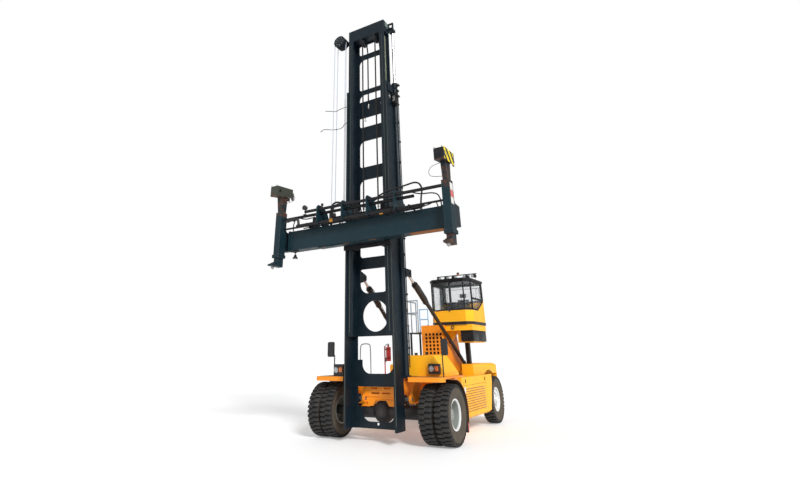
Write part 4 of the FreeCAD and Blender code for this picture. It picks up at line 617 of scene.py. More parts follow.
# ------------------------------------------------------------------ wheels
def carcass():
    """Tyre casing about x through the origin, closed round its beads."""
    half = [(0.0, TYRE - 0.044), (0.10, TYRE - 0.046), (0.148, TYRE - 0.050), (0.166, TYRE - 0.060),
            (0.177, TYRE - 0.078), (0.182, TYRE - 0.100), (0.1855, TYRE - 0.128), (0.187, TYRE - 0.165),
            (0.184, 0.475), (0.180, 0.452), (0.1805, 0.442), (0.176, 0.438), (0.172, 0.424), (0.160, 0.398),
            (0.1605, 0.390), (0.150, 0.374), (0.131, 0.356), (0.125, 0.327)]
    outline = half + [(-x, radius) for x, radius in reversed(half[1:])]
    bpy.ops.object.select_all(action="DESELECT")
    bpy.ops.mesh.primitive_plane_add(size=0.01, location=(outline[0][0], 0, outline[0][1]))
    piece = fixed_in_place()
    bpy.ops.object.mode_set(mode="EDIT")
    bpy.ops.mesh.select_all(action="SELECT")
    bpy.ops.mesh.merge(type="CENTER")
    for (last_x, last_radius), (x, radius) in zip(outline, outline[1:] + outline[:1]):
        drawn_out(x - last_x, 0, radius - last_radius)
    bpy.ops.mesh.select_all(action="SELECT")
    bpy.ops.mesh.remove_doubles(threshold=0.0005)
    bpy.ops.mesh.spin(steps=80, angle=2 * math.pi, center=(0, 0, 0), axis=(1, 0, 0))
    bpy.ops.mesh.select_all(action="SELECT")
    bpy.ops.mesh.remove_doubles(threshold=0.0005)
    closed_up()
    return piece


def tread_lug():
    """One tread bar from shoulder to shoulder, with a step at the middle."""
    base, step = TYRE - 0.085, 0.021
    rows = [(-0.1885, -step, TYRE - 0.072), (-0.187, -step, TYRE - 0.050), (-0.180, -step, TYRE - 0.026),
            (-0.164, -step, TYRE - 0.010), (-0.142, -step, TYRE - 0.003), (-0.080, -step, TYRE - 0.0015),
            (-0.012, -step, TYRE - 0.0012)]
    rows += [(-x, -along, top) for x, along, top in reversed(rows)]
    x, along, top = rows[0]
    bpy.ops.object.select_all(action="DESELECT")
    bpy.ops.mesh.primitive_plane_add(size=1, location=(x, along, (base + top) / 2),
                                     rotation=(0, -math.pi / 2, 0))
    bpy.context.object.scale = (top - base, 0.078, 1)
    piece = fixed_in_place()
    for corner in piece.data.vertices:
        corner.select = corner.co.z > base + 0.004
    bpy.ops.object.mode_set(mode="EDIT")
    bpy.ops.transform.resize(value=(1, 0.88, 1), center_override=(x, along, base))
    bpy.ops.mesh.select_all(action="SELECT")
    for (x, along, top), (next_x, next_along, next_top) in zip(rows, rows[1:]):
        drawn_out(next_x - x, next_along - along, 0)
        grow = (next_top - base) / (top - base)
        bpy.ops.transform.resize(value=(1, 1, grow), center_override=(next_x, next_along, base))
    closed_up()
    return piece


def tyres():
    """Casings with tread bars, twins in front and single behind."""
    lugs = around(tread_lug(), (0, -AXLE_Y, 0), (1, 0, 0), TREAD_BARS)
    casing = carcass()
    picked(lugs)
    casing.select_set(True)
    bpy.ops.object.join()
    whole = bpy.context.object
    for side, sign in SIDES:
        for kind in ("drive", "steer"):
            node = f"{kind}_tyre{'s' if kind == 'drive' else ''}_{side}"
            low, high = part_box(node)
            middle, wide = (low[1] + high[1]) / 2, 0.1875
            centres = {low[0] + wide, high[0] - wide} if kind == "drive" else {(low[0] + high[0]) / 2}
            copies = []
            for number, x in enumerate(sorted(centres)):
                twin = copied(whole, 5 * number, "X", (0, -AXLE_Y, 0))
                if sign * (1 if number else -1) < 0:
                    twin.data.transform(Matrix.Rotation(math.pi, 4, "Z"))
                twin.data.transform(Matrix.Translation((x, middle, TYRE)))
                copies.append(twin)
            piece = made(f"{kind}_tread_{side}", "tyre_black", f"{kind}_wheel_{side}", *copies)
            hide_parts(node)
    bpy.data.objects.remove(whole)


def bolt_circle(x, y, radius, count, width, height, stud=0.6):
    """Nuts evenly round a wheel's axle, facing outwards."""
    first = nut((x, y, TYRE + radius), (x + math.copysign(1, x), y, TYRE + radius), width, height, stud)
    return around(first, (x, y, TYRE), (1, 0, 0), count)


def wheel_fittings():
    """Nuts on the discs, the lock rings in the rims, the valves and the hub bolts."""
    rear = STEER_Y - AXLE_Y
    for side, sign in SIDES:
        nuts = [bolt_circle(sign * 1.814, 0, 0.205, 12, 0.034, 0.028),
                bolt_circle(sign * 1.852, 0, 0.165, 8, 0.024, 0.012, 0.1),
                bolt_circle(sign * 1.942, 0, 0.092, 6, 0.018, 0.010, 0.1)]
        made(f"drive_wheel_nuts_{side}", "bolt_zinc", f"drive_wheel_{side}", *nuts)
        ring = turned((sign * 2.036, 0, TYRE), (sign * 2.1, 0, TYRE),
                      [(0, 0.330), (0, 0.347), (0.006, 0.352), (0.011, 0.350), (0.012, 0.340),
                       (0.006, 0.331)], 72)
        valve = bent([(sign * 1.83, 0.10, TYRE + 0.29), (sign * 1.90, 0.10, TYRE + 0.29),
                      (sign * 1.93, 0.09, TYRE + 0.25)], 0.006)
        made(f"drive_lock_ring_{side}", "rim_white", f"drive_wheel_{side}", open_ring(ring))
        made(f"drive_valve_{side}", "gland_brass", f"drive_wheel_{side}", valve)
        nuts = [bolt_circle(sign * 1.617, rear, 0.178, 10, 0.032, 0.024),
                bolt_circle(sign * 1.645, rear, 0.122, 8, 0.020, 0.010, 0.1)]
        made(f"steer_wheel_nuts_{side}", "bolt_zinc", f"steer_wheel_{side}", *nuts)
        cap = turned((sign * 1.695, rear, TYRE), (sign * 1.8, rear, TYRE),
                     [(0, 0.088), (0.004, 0.088), (0.016, 0.070), (0.022, 0.045), (0.023, 0.012)], 32)
        made(f"steer_hub_cap_{side}", "rim_white", f"steer_wheel_{side}", cap)


# ------------------------------------------------------------------ mast
def chain_links(x, y, low, high):
    """Leaf chain in a straight run: plates in two widths and the pins between them."""
    pitch = CHAIN_PITCH
    count = int((high - low) / pitch)
    outer = slab((x - 0.023, y - 0.011, low), (x + 0.023, y + 0.011, low + pitch * 0.92), 0.004)
    inner = slab((x - 0.016, y - 0.008, low + pitch * 0.5), (x + 0.016, y + 0.008, low + pitch * 1.45), 0.003)
    pin = bar((x - 0.029, y, low + pitch * 0.46), (x + 0.029, y, low + pitch * 0.46), 0.006, 8)
    return [row_of(shape, count, (0, 0, pitch)) for shape in (outer, inner, pin)]


def hoist_chains():
    """Two leaf chains: from the carriage over the head's sheaves and down to the outer mast's top plate."""
    centre_y, centre_z, radius = -0.56, 12.48, 0.152
    for number, x in enumerate((-0.1715, 0.3485)):
        front, rear = centre_y - radius, -0.347
        down = made(f"lift_chain_front_{number}", "chain_steel", None, *chain_links(x, front, 6.22, centre_z))
        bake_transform(down)
        back = made(f"lift_chain_rear_{number}", "chain_steel", None, *chain_links(x, rear, 10.05, 12.22))
        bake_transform(back)
        link = slab((x - 0.023, centre_y - 0.024, centre_z + radius - 0.011),
                    (x + 0.023, centre_y + 0.024, centre_z + radius + 0.011), 0.004)
        wrap = [copied(link, angle, "X", (x, centre_y, centre_z)) for angle in range(-80, 100, 20)]
        bpy.data.objects.remove(link)
        slope = slab((x - 0.023, -0.419, 12.20), (x + 0.023, -0.397, 12.50), 0.004)
        slope.data.transform(about((x, -0.408, 12.50), 0.205, "X"))
        made(f"lift_chain_wrap_{number}", "chain_steel", "inner_mast", *wrap, slope)
        flanges = [around(slab((x + gap - 0.006, centre_y - 0.02, centre_z + 0.112),
                               (x + gap + 0.006, centre_y + 0.02, centre_z + 0.150), 0.003),
                          (x, centre_y, centre_z), (1, 0, 0), 24) for gap in (-0.036, 0.036)]
        made(f"lift_sheave_flange_{number}", "casting_black", "inner_mast", *flanges)
        anchor = [slab((x - 0.035, -0.352, 9.90), (x + 0.035, -0.3305, 10.0), 0.004),
                  bar((x, -0.345, 9.86), (x, -0.345, 10.07), 0.011),
                  nut((x, -0.345, 9.895), (x, -0.345, 9.8), 0.028)]
        made(f"chain_anchor_top_{number}", "bright_steel", "outer_mast", *anchor)
        clevis = [slab((x - 0.04, -0.815, 5.93), (x + 0.04, front + 0.04, 5.97), 0.005),
                  bar((x, front, 5.85), (x, front, 6.15), 0.013),
                  nut((x, front, 5.925), (x, front, 5.8), 0.034),
                  nut((x, front, 5.971), (x, front, 6.1), 0.034),
                  slab((x - 0.030, front - 0.018, 6.13), (x + 0.030, front + 0.018, 6.24), 0.006)]
        made(f"chain_anchor_low_{number}", "bright_steel", "carriage", *clevis)


def supply_hoses():
    """Two hoses from the head's drum to the carriage's terminal, and the pair beside the mast."""
    for number, y in enumerate((-0.735, -0.53)):
        x = -1.383
        hose = made(f"supply_hose_{number}", "hose_grey", None,
                    row_of(bar((x, y, 6.25), (x, y, 6.356), 0.0125, 10), 60, (0, 0, 0.11)))
        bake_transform(hose)
    for number, x in enumerate((-0.985, -0.945)):
        hose = made(f"side_hose_{number}", "hose_grey", None,
                    row_of(bar((x, -0.62, 6.25), (x, -0.62, 6.356), 0.009, 10), 60, (0, 0, 0.11)))
        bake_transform(hose)
    box = [slab((-1.44, -0.80, 5.99), (-1.26, -0.505, 6.03), 0.006),
           slab((-1.43, -0.79, 6.02), (-1.34, -0.508, 6.24), 0.02),
           slab((-1.31, -0.86, 5.90), (-1.25, -0.75, 6.03), 0.006)]
    glands = [turned((-1.383, y, 6.23), (-1.383, y, 6.4),
                     [(0, 0.026), (0.03, 0.026), (0.031, 0.020), (0.07, 0.017)], 6) for y in (-0.735, -0.53)]
    made("supply_terminal", "plastic_black", "carriage", *box)
    made("supply_glands", "bright_steel", "carriage", *glands)
    arch = [bent([(-1.32, -0.83, 6.03), (-1.34, -0.83, 6.42), (-1.14, -0.84, 6.52), (-0.95, -0.85, 6.46),
                  (-0.70, -0.84, 6.42)], 0.030),
            bent([(-1.28, -0.80, 6.03), (-1.29, -0.80, 6.36), (-1.12, -0.82, 6.45), (-0.93, -0.83, 6.40),
                  (-0.66, -0.82, 6.36)], 0.026),
            slab((-0.72, -0.86, 6.02), (-0.62, -0.79, 6.45), 0.006)]
    made("supply_arch", "hose_rubber", "carriage", *arch)


def drum_details():
    """Coiled hose on the head's drum, its hub and the hub's bolts."""
    centre = (-1.17, 0, 12.85)
    turns = []
    for number in range(9):
        y = -0.756 + 0.034 * number
        ring = turned((centre[0], y - 0.013, centre[2]), (centre[0], 0, centre[2]),
                      [(0, 0.200), (0.004, 0.212), (0.013, 0.217), (0.022, 0.212), (0.026, 0.200)], 40)
        turns.append(ring)
    made("drum_hose_turns", "hose_rubber", "inner_mast", *turns)
    hub = [turned((centre[0], -0.776, centre[2]), (centre[0], -0.9, centre[2]),
                  [(0, 0.09), (0.012, 0.09), (0.018, 0.075), (0.019, 0.04), (0.04, 0.036)], 24)]
    bolts = around(nut((centre[0], -0.776, centre[2] + 0.15), (centre[0], -0.9, centre[2] + 0.15), 0.024,
                       0.012), (centre[0], -0.776, centre[2]), (0, 1, 0), 8)
    made("drum_hub", "casting_black", "inner_mast", *hub)
    made("drum_bolts", "bolt_zinc", "inner_mast", bolts)


def mast_tracks():
    """Faces that the rollers have polished, the reflecting strip and the rollers themselves."""
    strips, rollers = [], []
    for sign in (1, -1):
        for x, y, low, high in ((0.772, -0.7908, 0.45, 10.35), (0.640, -0.7568, 2.65, 12.5)):
            near, far = sorted((sign * x, sign * (x + 0.010)))
            strips.append((slab((near, y - 0.0012, low), (far, y + 0.0008, high), 0.0008), x > 0.7))
    made("outer_track_marks", "track_steel", "outer_mast", *[piece for piece, outer in strips if outer])
    made("inner_track_marks", "track_steel", "inner_mast", *[piece for piece, outer in strips if not outer])
    marker = [slab((0.7375, -0.70, 9.2), (0.7392, -0.655, 12.4), 0.0006)]
    made("mast_reflector", "reflector_strip", "inner_mast", *marker)
    for sign in (1, -1):
        for level in (9.95, 10.28):
            near, far = sign * 0.790, sign * 0.812
            rollers.append(turned((near, -0.56, level), (far + sign, -0.56, level),
                                  [(0, 0.060), (0.012, 0.060), (0.018, 0.054), (0.019, 0.030),
                                   (0.024, 0.028)], 24))
            rollers.append(around(nut((near, -0.56, level + 0.075), (far + sign, -0.56, level + 0.075),
                                      0.018, 0.010), (near, -0.56, level), (1, 0, 0), 4))
    made("mast_roller_caps", "pin_steel", "outer_mast", *rollers)


def mast_pipework():
    """Lift cylinder heads, clamps and lines on the outer mast, and the wire guides beside it."""
    for side, sign in SIDES:
        x, y = sign * 0.822, -0.225
        ring = [turned((x, y, 10.56), (x, y, 11),
                       [(0, 0.108), (0.004, 0.112), (0.026, 0.112), (0.030, 0.108), (0.031, 0.075),
                        (0.046, 0.066), (0.047, 0.050)], 32),
                around(nut((x + 0.088, y, 10.59), (x + 0.088, y, 11), 0.020, 0.012), (x, y, 10.59),
                       (0, 0, 1), 8)]
        made(f"lift_gland_{side}", "casting_black", "outer_mast", *ring)
        line = [bent([(x + sign * 0.05, -0.09, 1.75), (x + sign * 0.05, -0.09, 3.0),
                      (x + sign * 0.05, -0.09, 9.6), (x + sign * 0.05, -0.10, 10.35),
                      (x + sign * 0.03, -0.13, 10.52)], 0.014)]
        line += [slab((min(x + sign * 0.02, x + sign * 0.08), -0.14, level),
                      (max(x + sign * 0.02, x + sign * 0.08), -0.072, level + 0.05), 0.004)
                 for level in (2.2, 3.6, 5.2, 6.8, 8.4, 9.8)]
        made(f"lift_line_{side}", "frame_black", "outer_mast", *line)
    shelf = [slab((0.80, -0.52, 9.72), (0.96, -0.30, 9.76), 0.004),
             slab((0.80, -0.50, 10.0), (0.99, -0.33, 10.05), 0.004),
             slab((0.94, -0.48, 9.74), (0.97, -0.32, 10.02), 0.004)]
    made("mast_side_bracket", "frame_black", "outer_mast", *shelf)
    rollers = [turned((0.90, -0.48, level), (0.90, -0.2, level),
                      [(0, 0.05), (0.01, 0.06), (0.03, 0.045), (0.11, 0.045), (0.13, 0.06), (0.14, 0.05)],
                      20) for level in (9.83, 9.95)]
    made("mast_side_rollers", "pin_steel", "outer_mast", *rollers)
    guides = [bent([(-0.735, -0.60, 9.42), (-1.02, -0.58, 9.42), (-1.10, -0.55, 9.27), (-1.45, -0.55, 9.28),
                    (-1.87, -0.55, 9.42), (-1.97, -0.55, 9.42), (-2.07, -0.55, 9.36)], 0.011),
              bent([(-0.735, -0.60, 10.03), (-1.18, -0.58, 10.05), (-1.42, -0.55, 10.00),
                    (-1.66, -0.55, 10.10), (-1.88, -0.55, 10.16)], 0.011)]
    bosses = [slab((-0.80, -0.63, level - 0.035), (-0.789, -0.56, level + 0.035), 0.003)
              for level in (9.42, 10.03)]
    made("hose_guide_wires", "frame_black", "outer_mast", *guides, *bosses)
    hook = [bent([(-0.30, -0.322, 9.62), (-0.30, -0.345, 9.50), (-0.33, -0.350, 9.42), (-0.29, -0.350, 9.38),
                  (-0.26, -0.350, 9.42)], 0.010)]
    made("mast_hook", "frame_black", "outer_mast", *hook)


def mast_bolts():
    """Bolts and plug at the mast's foot, clamps near its top and the plate on its head."""
    bolts = []
    for x in (-0.66, 0.66):
        for level in (0.42, 0.72):
            bolts.append(nut((x, -0.3305, level), (x, -1, level), 0.030, 0.012, 0.1))
    plug = turned((0.0, -0.3305, 0.42), (0.0, -1, 0.42),
                  [(0, 0.030), (0.008, 0.030), (0.014, 0.022), (0.015, 0.008)], 20)
    made("mast_foot_bolts", "casting_black", "outer_mast", *bolts)
    clamps = []
    for level, out in ((9.98, 1.035), (10.20, 1.015), (10.41, 1.045)):
        clamps.append(slab((0.92, -0.37, level), (out, -0.27, level + 0.055), 0.008))
        clamps.append(nut((out - 0.03, -0.37, level + 0.028), (out - 0.03, -1, level + 0.028), 0.028))
    for level in (9.96, 10.09, 10.22, 10.35):
        clamps.append(slab((-0.965, -0.40, level), (-0.92, -0.30, level + 0.05), 0.008))
    made("mast_top_clamps", "casting_black", "outer_mast", *clamps)
    # A thin pale green plate on the right end face of the head.
    made("head_side_plate", "pale_green_patch", "inner_mast",
         slab((0.739, -0.64, 12.87), (0.745, -0.19, 13.06), 0.002))
    made("mast_foot_plug", "blank_white", "outer_mast", plug)


# ------------------------------------------------------------------ spreader
def hose(name, body, points, diameter, length):
    """Free hose or cable along a smooth line through its points, from one fitting to another. The length
    argument is not used.
    """
    piece = line_through(name, points, diameter / 2, 8)
    piece.data.materials.append(FINISH["hose_rubber"])
    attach(piece, body)


HOSES = {
    "spreader_hose_arc": ("spreader", 0.050, 2.70,
                          [(0.30, -1.10, 5.93), (0.34, -1.10, 6.20), (0.75, -1.16, 6.40),
                           (1.50, -1.20, 6.46), (1.90, -1.20, 6.52), (2.06, -1.20, 6.30),
                           (1.98, -1.20, 5.95), (1.98, -1.20, 5.68)]),
    "spreader_hose_upper": ("spreader", 0.036, 2.89,
                            [(0.20, -1.06, 5.93), (0.24, -1.06, 6.22), (0.90, -1.10, 6.34),
                             (1.50, -1.10, 6.34), (1.93, -1.14, 6.14), (2.36, -1.16, 6.12),
                             (2.56, -1.16, 5.98), (2.57, -1.16, 5.68)]),
    "spreader_hose_lower": ("spreader", 0.030, 1.21,
                            [(1.48, -1.10, 5.68), (1.47, -1.10, 5.86), (1.85, -1.10, 5.80),
                             (2.17, -1.10, 5.80), (2.42, -1.10, 5.92), (2.44, -1.10, 5.68)]),
    "spreader_hose_left": ("spreader", 0.034, 1.65,
                           [(-2.58, -1.12, 5.68), (-2.62, -1.12, 5.98), (-2.42, -1.12, 6.14),
                            (-2.10, -1.12, 6.02), (-1.72, -1.12, 6.06), (-1.54, -1.12, 5.90),
                            (-1.53, -1.12, 5.68)]),
    "spreader_hose_middle": ("spreader", 0.034, 1.80,
                             [(-0.10, -1.10, 5.93), (-0.12, -1.10, 6.14), (-0.36, -1.10, 6.36),
                              (-0.90, -1.10, 6.36), (-1.12, -1.10, 6.20), (-1.14, -1.10, 5.90),
                              (-1.14, -1.10, 5.68)]),
    "spreader_hose_short": ("spreader", 0.026, 1.22,
                            [(0.02, -1.16, 5.93), (0.0, -1.16, 6.10), (-0.20, -1.16, 6.24),
                             (-0.62, -1.16, 6.10), (-0.66, -1.16, 5.90), (-0.66, -1.16, 5.68)]),
    "head_cable_left": ("reach_left", 0.014, 0.97,
                        [(2.80, -1.50, 6.79), (2.52, -1.50, 6.78), (2.38, -1.50, 6.60), (2.46, -1.50, 6.42),
                         (2.80, -1.50, 6.40)]),
    "head_cable_right": ("reach_right", 0.014, 1.15,
                         [(-2.80, -1.50, 6.80), (-2.46, -1.50, 6.82), (-2.24, -1.50, 6.70),
                          (-2.36, -1.50, 6.54), (-2.80, -1.50, 6.56)]),
}


def spreader_hoses():
    """The spreader's free hoses and cables, each with a fitting at both ends."""
    for name, (body, diameter, length, points) in HOSES.items():
        hose(name, body, points, diameter, length)
        fittings = []
        for end in (0, -1):
            x, y, z = points[end]
            if body == "spreader":
                fittings.append(turned((x, y, z - 0.02), (x, y, z + 1),
                                       [(0, diameter * 0.8), (0.03, diameter * 0.8), (0.031, diameter * 0.62),
                                        (0.08, diameter * 0.58), (0.082, diameter * 0.5)], 6))
            else:
                inward = -math.copysign(1, x)
                fittings.append(turned((x - inward * 0.03, y, z), (x + inward, y, z),
                                       [(0, 0.016), (0.05, 0.016), (0.051, 0.012), (0.08, 0.010)], 6))
        made(f"{name}_fittings", "bright_steel", body, *fittings)


def spreader_valves():
    """Valve bank on the beam, with its coils, and the glands and clamps of the reach cylinders."""
    bank = [slab((-0.16, -1.22, 5.672), (0.38, -1.00, 5.70), 0.005),
            slab((-0.14, -1.19, 5.70), (0.36, -1.03, 5.93), 0.010)]
    made("valve_bank", "casting_black", "spreader", *bank)
    coils = []
    for number in range(6):
        x = -0.10 + 0.084 * number
        coils.append(turned((x, -1.19, 5.82), (x, -2, 5.82),
                            [(0, 0.032), (0.01, 0.034), (0.07, 0.034), (0.078, 0.028), (0.08, 0.014),
                             (0.10, 0.012)], 20))
        coils.append(turned((x, -1.03, 5.78), (x, 1, 5.78),
                            [(0, 0.026), (0.05, 0.026), (0.058, 0.02), (0.06, 0.01)], 16))
    made("valve_coils", "plastic_black", "spreader", *coils)
    glands = []
    for x, y in ((-0.83, -1.48), (0.82, -1.36)):
        glands.append(turned((x - 0.06, y, 5.738), (x + 1, y, 5.738),
                             [(0, 0.052), (0.006, 0.060), (0.05, 0.060), (0.052, 0.066), (0.09, 0.066),
                              (0.094, 0.058), (0.12, 0.052)], 24))
    made("reach_glands", "gland_brass", "spreader", *glands)
    straps = []
    for x in (-1.75, -0.25, 0.20, 1.75):
        for y in (-1.48, -1.36):
            straps.append(turned((x - 0.02, y, 5.738), (x + 1, y, 5.738),
                                 [(0, 0.050), (0.002, 0.056), (0.038, 0.056), (0.040, 0.050)], 20))
            straps.append(slab((x - 0.02, y - 0.02, 5.665), (x + 0.02, y + 0.02, 5.70), 0.003))
    made("reach_straps", "frame_black", "spreader", *straps)
    pipes = [bent([(-2.05, -1.28, 5.70), (-1.9, -1.28, 5.705), (1.9, -1.28, 5.705), (2.05, -1.28, 5.70)],
                  0.012),
             bent([(-2.05, -1.245, 5.70), (-1.9, -1.245, 5.705), (1.9, -1.245, 5.705), (2.05, -1.245, 5.70)],
                  0.012)]
    clips = [slab((x - 0.02, -1.30, 5.669), (x + 0.02, -1.225, 5.725), 0.004)
             for x in (-1.8, -1.0, -0.3, 0.5, 1.1, 1.8)]
    made("spreader_pipes", "frame_black", "spreader", *pipes, *clips)
    risers = []
    for number in range(6):
        x, bow = -0.10 + 0.084 * number, 0.03 * (number % 3)
        risers.append(bent([(x, -1.11, 5.92), (x, -1.11, 6.00), (x, -1.13 - bow, 6.06 + bow),
                            (x, -1.24 - bow, 6.06 + bow), (x + 0.02, -1.28, 5.98), (x + 0.03, -1.28, 5.74)],
                           0.011))
        risers.append(turned((x, -1.11, 5.925), (x, -1.11, 7),
                             [(0, 0.018), (0.02, 0.018), (0.022, 0.014), (0.04, 0.013)], 6))
    made("valve_risers", "hose_rubber", "spreader", *risers)


def guide_bar_fittings():
    """Pipe elbow and work lamp carried by one guide bar, and the junction box beside it on the beam."""
    elbow = [bent([(-2.64, -1.445, 5.960), (-2.50, -1.445, 5.975), (-2.26, -1.445, 5.985),
                   (-2.15, -1.445, 5.96), (-2.12, -1.445, 5.86), (-2.12, -1.445, 5.72)], 0.042)]
    for x in (-2.56, -2.34):
        elbow.append(turned((x, -1.445, 5.972), (x + 1, -1.445, 5.972),
                            [(0, 0.045), (0.003, 0.052), (0.037, 0.052), (0.040, 0.045)], 20))
        elbow.append(slab((x, -1.44, 5.99), (x + 0.04, -1.36, 6.02), 0.004))
    elbow.append(turned((-2.12, -1.445, 5.79), (-2.12, -1.445, 5),
                        [(0, 0.046), (0.004, 0.055), (0.05, 0.055), (0.054, 0.040), (0.08, 0.036)], 6))
    made("guide_elbow", "casting_black", "reach_right", *elbow)
    box = [slab((-1.75, -1.222, 5.84), (-1.60, -1.150, 6.02), 0.012),
           slab((-1.83, -1.225, 5.672), (-1.52, -1.145, 5.85), 0.014)]
    for number in range(3):
        x = -1.78 + 0.105 * number
        box.append(turned((x, -1.225, 5.76), (x, -2, 5.76),
                          [(0, 0.026), (0.012, 0.026), (0.013, 0.02), (0.035, 0.018)], 6))
    for x in (-1.72, -1.63):
        box.append(turned((x, -1.186, 6.018), (x, -1.186, 7),
                          [(0, 0.022), (0.02, 0.022), (0.022, 0.015), (0.05, 0.013)], 6))
    made("guide_junction", "casting_black", "spreader", *box)
    lamp = [slab((-1.985, -1.405, 6.085), (-1.895, -1.315, 6.115), 0.006),
            bar((-1.94, -1.36, 6.11), (-1.94, -1.36, 6.27), 0.014),
            turned((-1.94, -1.30, 6.32), (-1.94, -3, 6.32),
                   [(0, 0.035), (0.02, 0.060), (0.07, 0.074), (0.13, 0.080), (0.135, 0.076), (0.150, 0.050),
                    (0.154, 0.015)], 24)]
    made("guide_lamp", "plastic_black", "reach_right", *lamp)


def spreader_fittings():
    """Stripes, markings, lamps, wear pads, twistlocks and bolts of the spreader."""
    made("head_stripes", "hazard_stripes", "reach_left",
         slab((3.0095, -1.80, 6.77), (3.0120, -1.13, 7.13), 0.001))
    for number, (low, high) in enumerate(((5.62, 5.80), (5.80, 6.00), (6.00, 6.20))):
        coat = "marking_red" if number == 1 else "marking_white"
        made(f"leg_marking_{number}", coat, "reach_left",
             slab((2.9795, -1.50, low), (2.9815, -1.30, high), 0.0008))
    made("beam_rust", "rust_orange", "spreader", slab((1.58, -1.235, 5.066), (2.56, -0.92, 5.0702), 0.001))
    marks = [row_of(slab((x, -1.2262, 5.040), (x + 0.030, -1.2248, 5.052), 0.0006), count, (0.045, 0, 0.0))
             for x, count in ((-1.30, 2), (-0.58, 5), (0.30, 6))]
    made("slide_pad_marks", "rust_orange", "spreader", *marks)
    for side, sign, body in (("left", 1, "reach_left"), ("right", -1, "reach_right")):
        x = sign * 2.87
        lock = turned((x, -1.66, 4.575), (x, -1.66, 4.0),
                      [(0, 0.040), (0.03, 0.040), (0.031, 0.052), (0.05, 0.052), (0.085, 0.030),
                       (0.100, 0.012)], 20)
        made(f"twistlock_{side}", "pin_steel", body, lock)
        foot = [nut((x + dx, -1.552, z), (x + dx, -2, z), 0.026, 0.012, 0.1) for dx in (-0.07, 0.07)
                for z in (4.95, 5.05)]
        foot += [nut((x + dx, -1.851, z), (x + dx, -3, z), 0.022, 0.010, 0.1) for dx in (-0.11, 0.11)
                 for z in (6.79, 7.11)]
        made(f"leg_bolts_{side}", "casting_black", body, *foot)
        eye = turned((x + sign * 0.139, -1.70, 6.94), (x + sign, -1.70, 6.94),
                     [(0, 0.064), (0.004, 0.078), (0.010, 0.078), (0.014, 0.066)], 28)
        made(f"head_eye_ring_{side}", "pin_steel", body, open_ring(eye))
        fork = [slab((x - 0.10, -1.085, 6.80), (x - 0.07, -0.97, 7.06), 0.008),
                slab((x + 0.07, -1.085, 6.80), (x + 0.10, -0.97, 7.06), 0.008),
                bar((x - 0.12, -1.0, 6.93), (x + 0.12, -1.0, 6.93), 0.020)]
        made(f"head_fork_{side}", "head_grey", body, *fork)
    bell = [bar((-2.45, -1.12, 5.075), (-2.45, -1.12, 4.93), 0.012),
            turned((-2.45, -1.12, 4.96), (-2.45, -1.12, 4.0),
                   [(0, 0.022), (0.03, 0.040), (0.06, 0.045), (0.10, 0.075), (0.13, 0.085), (0.135, 0.078),
                    (0.13, 0.05)], 24),
            slab((-2.60, -1.18, 5.045), (-2.36, -1.06, 5.0715), 0.005)]
    made("spreader_work_lamp", "frame_black", "spreader", *bell)
    made("spreader_work_lens", "lamp_clear", "spreader",
         turned((-2.45, -1.12, 4.832), (-2.45, -1.12, 4.0),
                [(0, 0.060), (0.004, 0.068), (0.010, 0.055), (0.014, 0.02)], 24))
    made("spreader_top_lamp", "frame_black", "spreader",
         turned((-1.33, -1.30, 6.27), (-1.33, -1.30, 7.0),
                [(0, 0.022), (0.04, 0.022), (0.05, 0.040), (0.09, 0.042), (0.11, 0.032), (0.115, 0.01)], 20))
    bolts = []
    for x in (-2.62, 2.62):
        for z in (5.14, 5.37, 5.60):
            bolts.append(nut((x, -1.2505, z), (x, -2, z), 0.028, 0.012, 0.1))
    made("beam_end_bolts", "casting_black", "spreader", *bolts)


def carriage_fittings():
    """Side rollers, bolts and the shift cylinder on the carriage."""
    parts = []
    for sign in (1, -1):
        for z in (5.05, 6.10):
            parts.append(turned((sign * 0.5205, -0.56, z), (sign * 2, -0.56, z),
                                [(0, 0.055), (0.008, 0.055), (0.012, 0.045), (0.013, 0.02)], 20))
        parts += [nut((sign * x, -0.861, z), (sign * x, -2, z), 0.026, 0.012, 0.1)
                  for x in (0.15, 0.75, 1.2) for z in (5.12, 5.96)]
    made("carriage_bolts", "casting_black", "carriage", *parts)
    ram = [bar((-0.9, -0.845, 5.52), (0.2, -0.845, 5.52), 0.038, 24),
           bar((0.2, -0.845, 5.52), (0.86, -0.845, 5.52), 0.020, 20)]
    made("side_shift_ram", "cylinder_brown", "carriage", *ram)


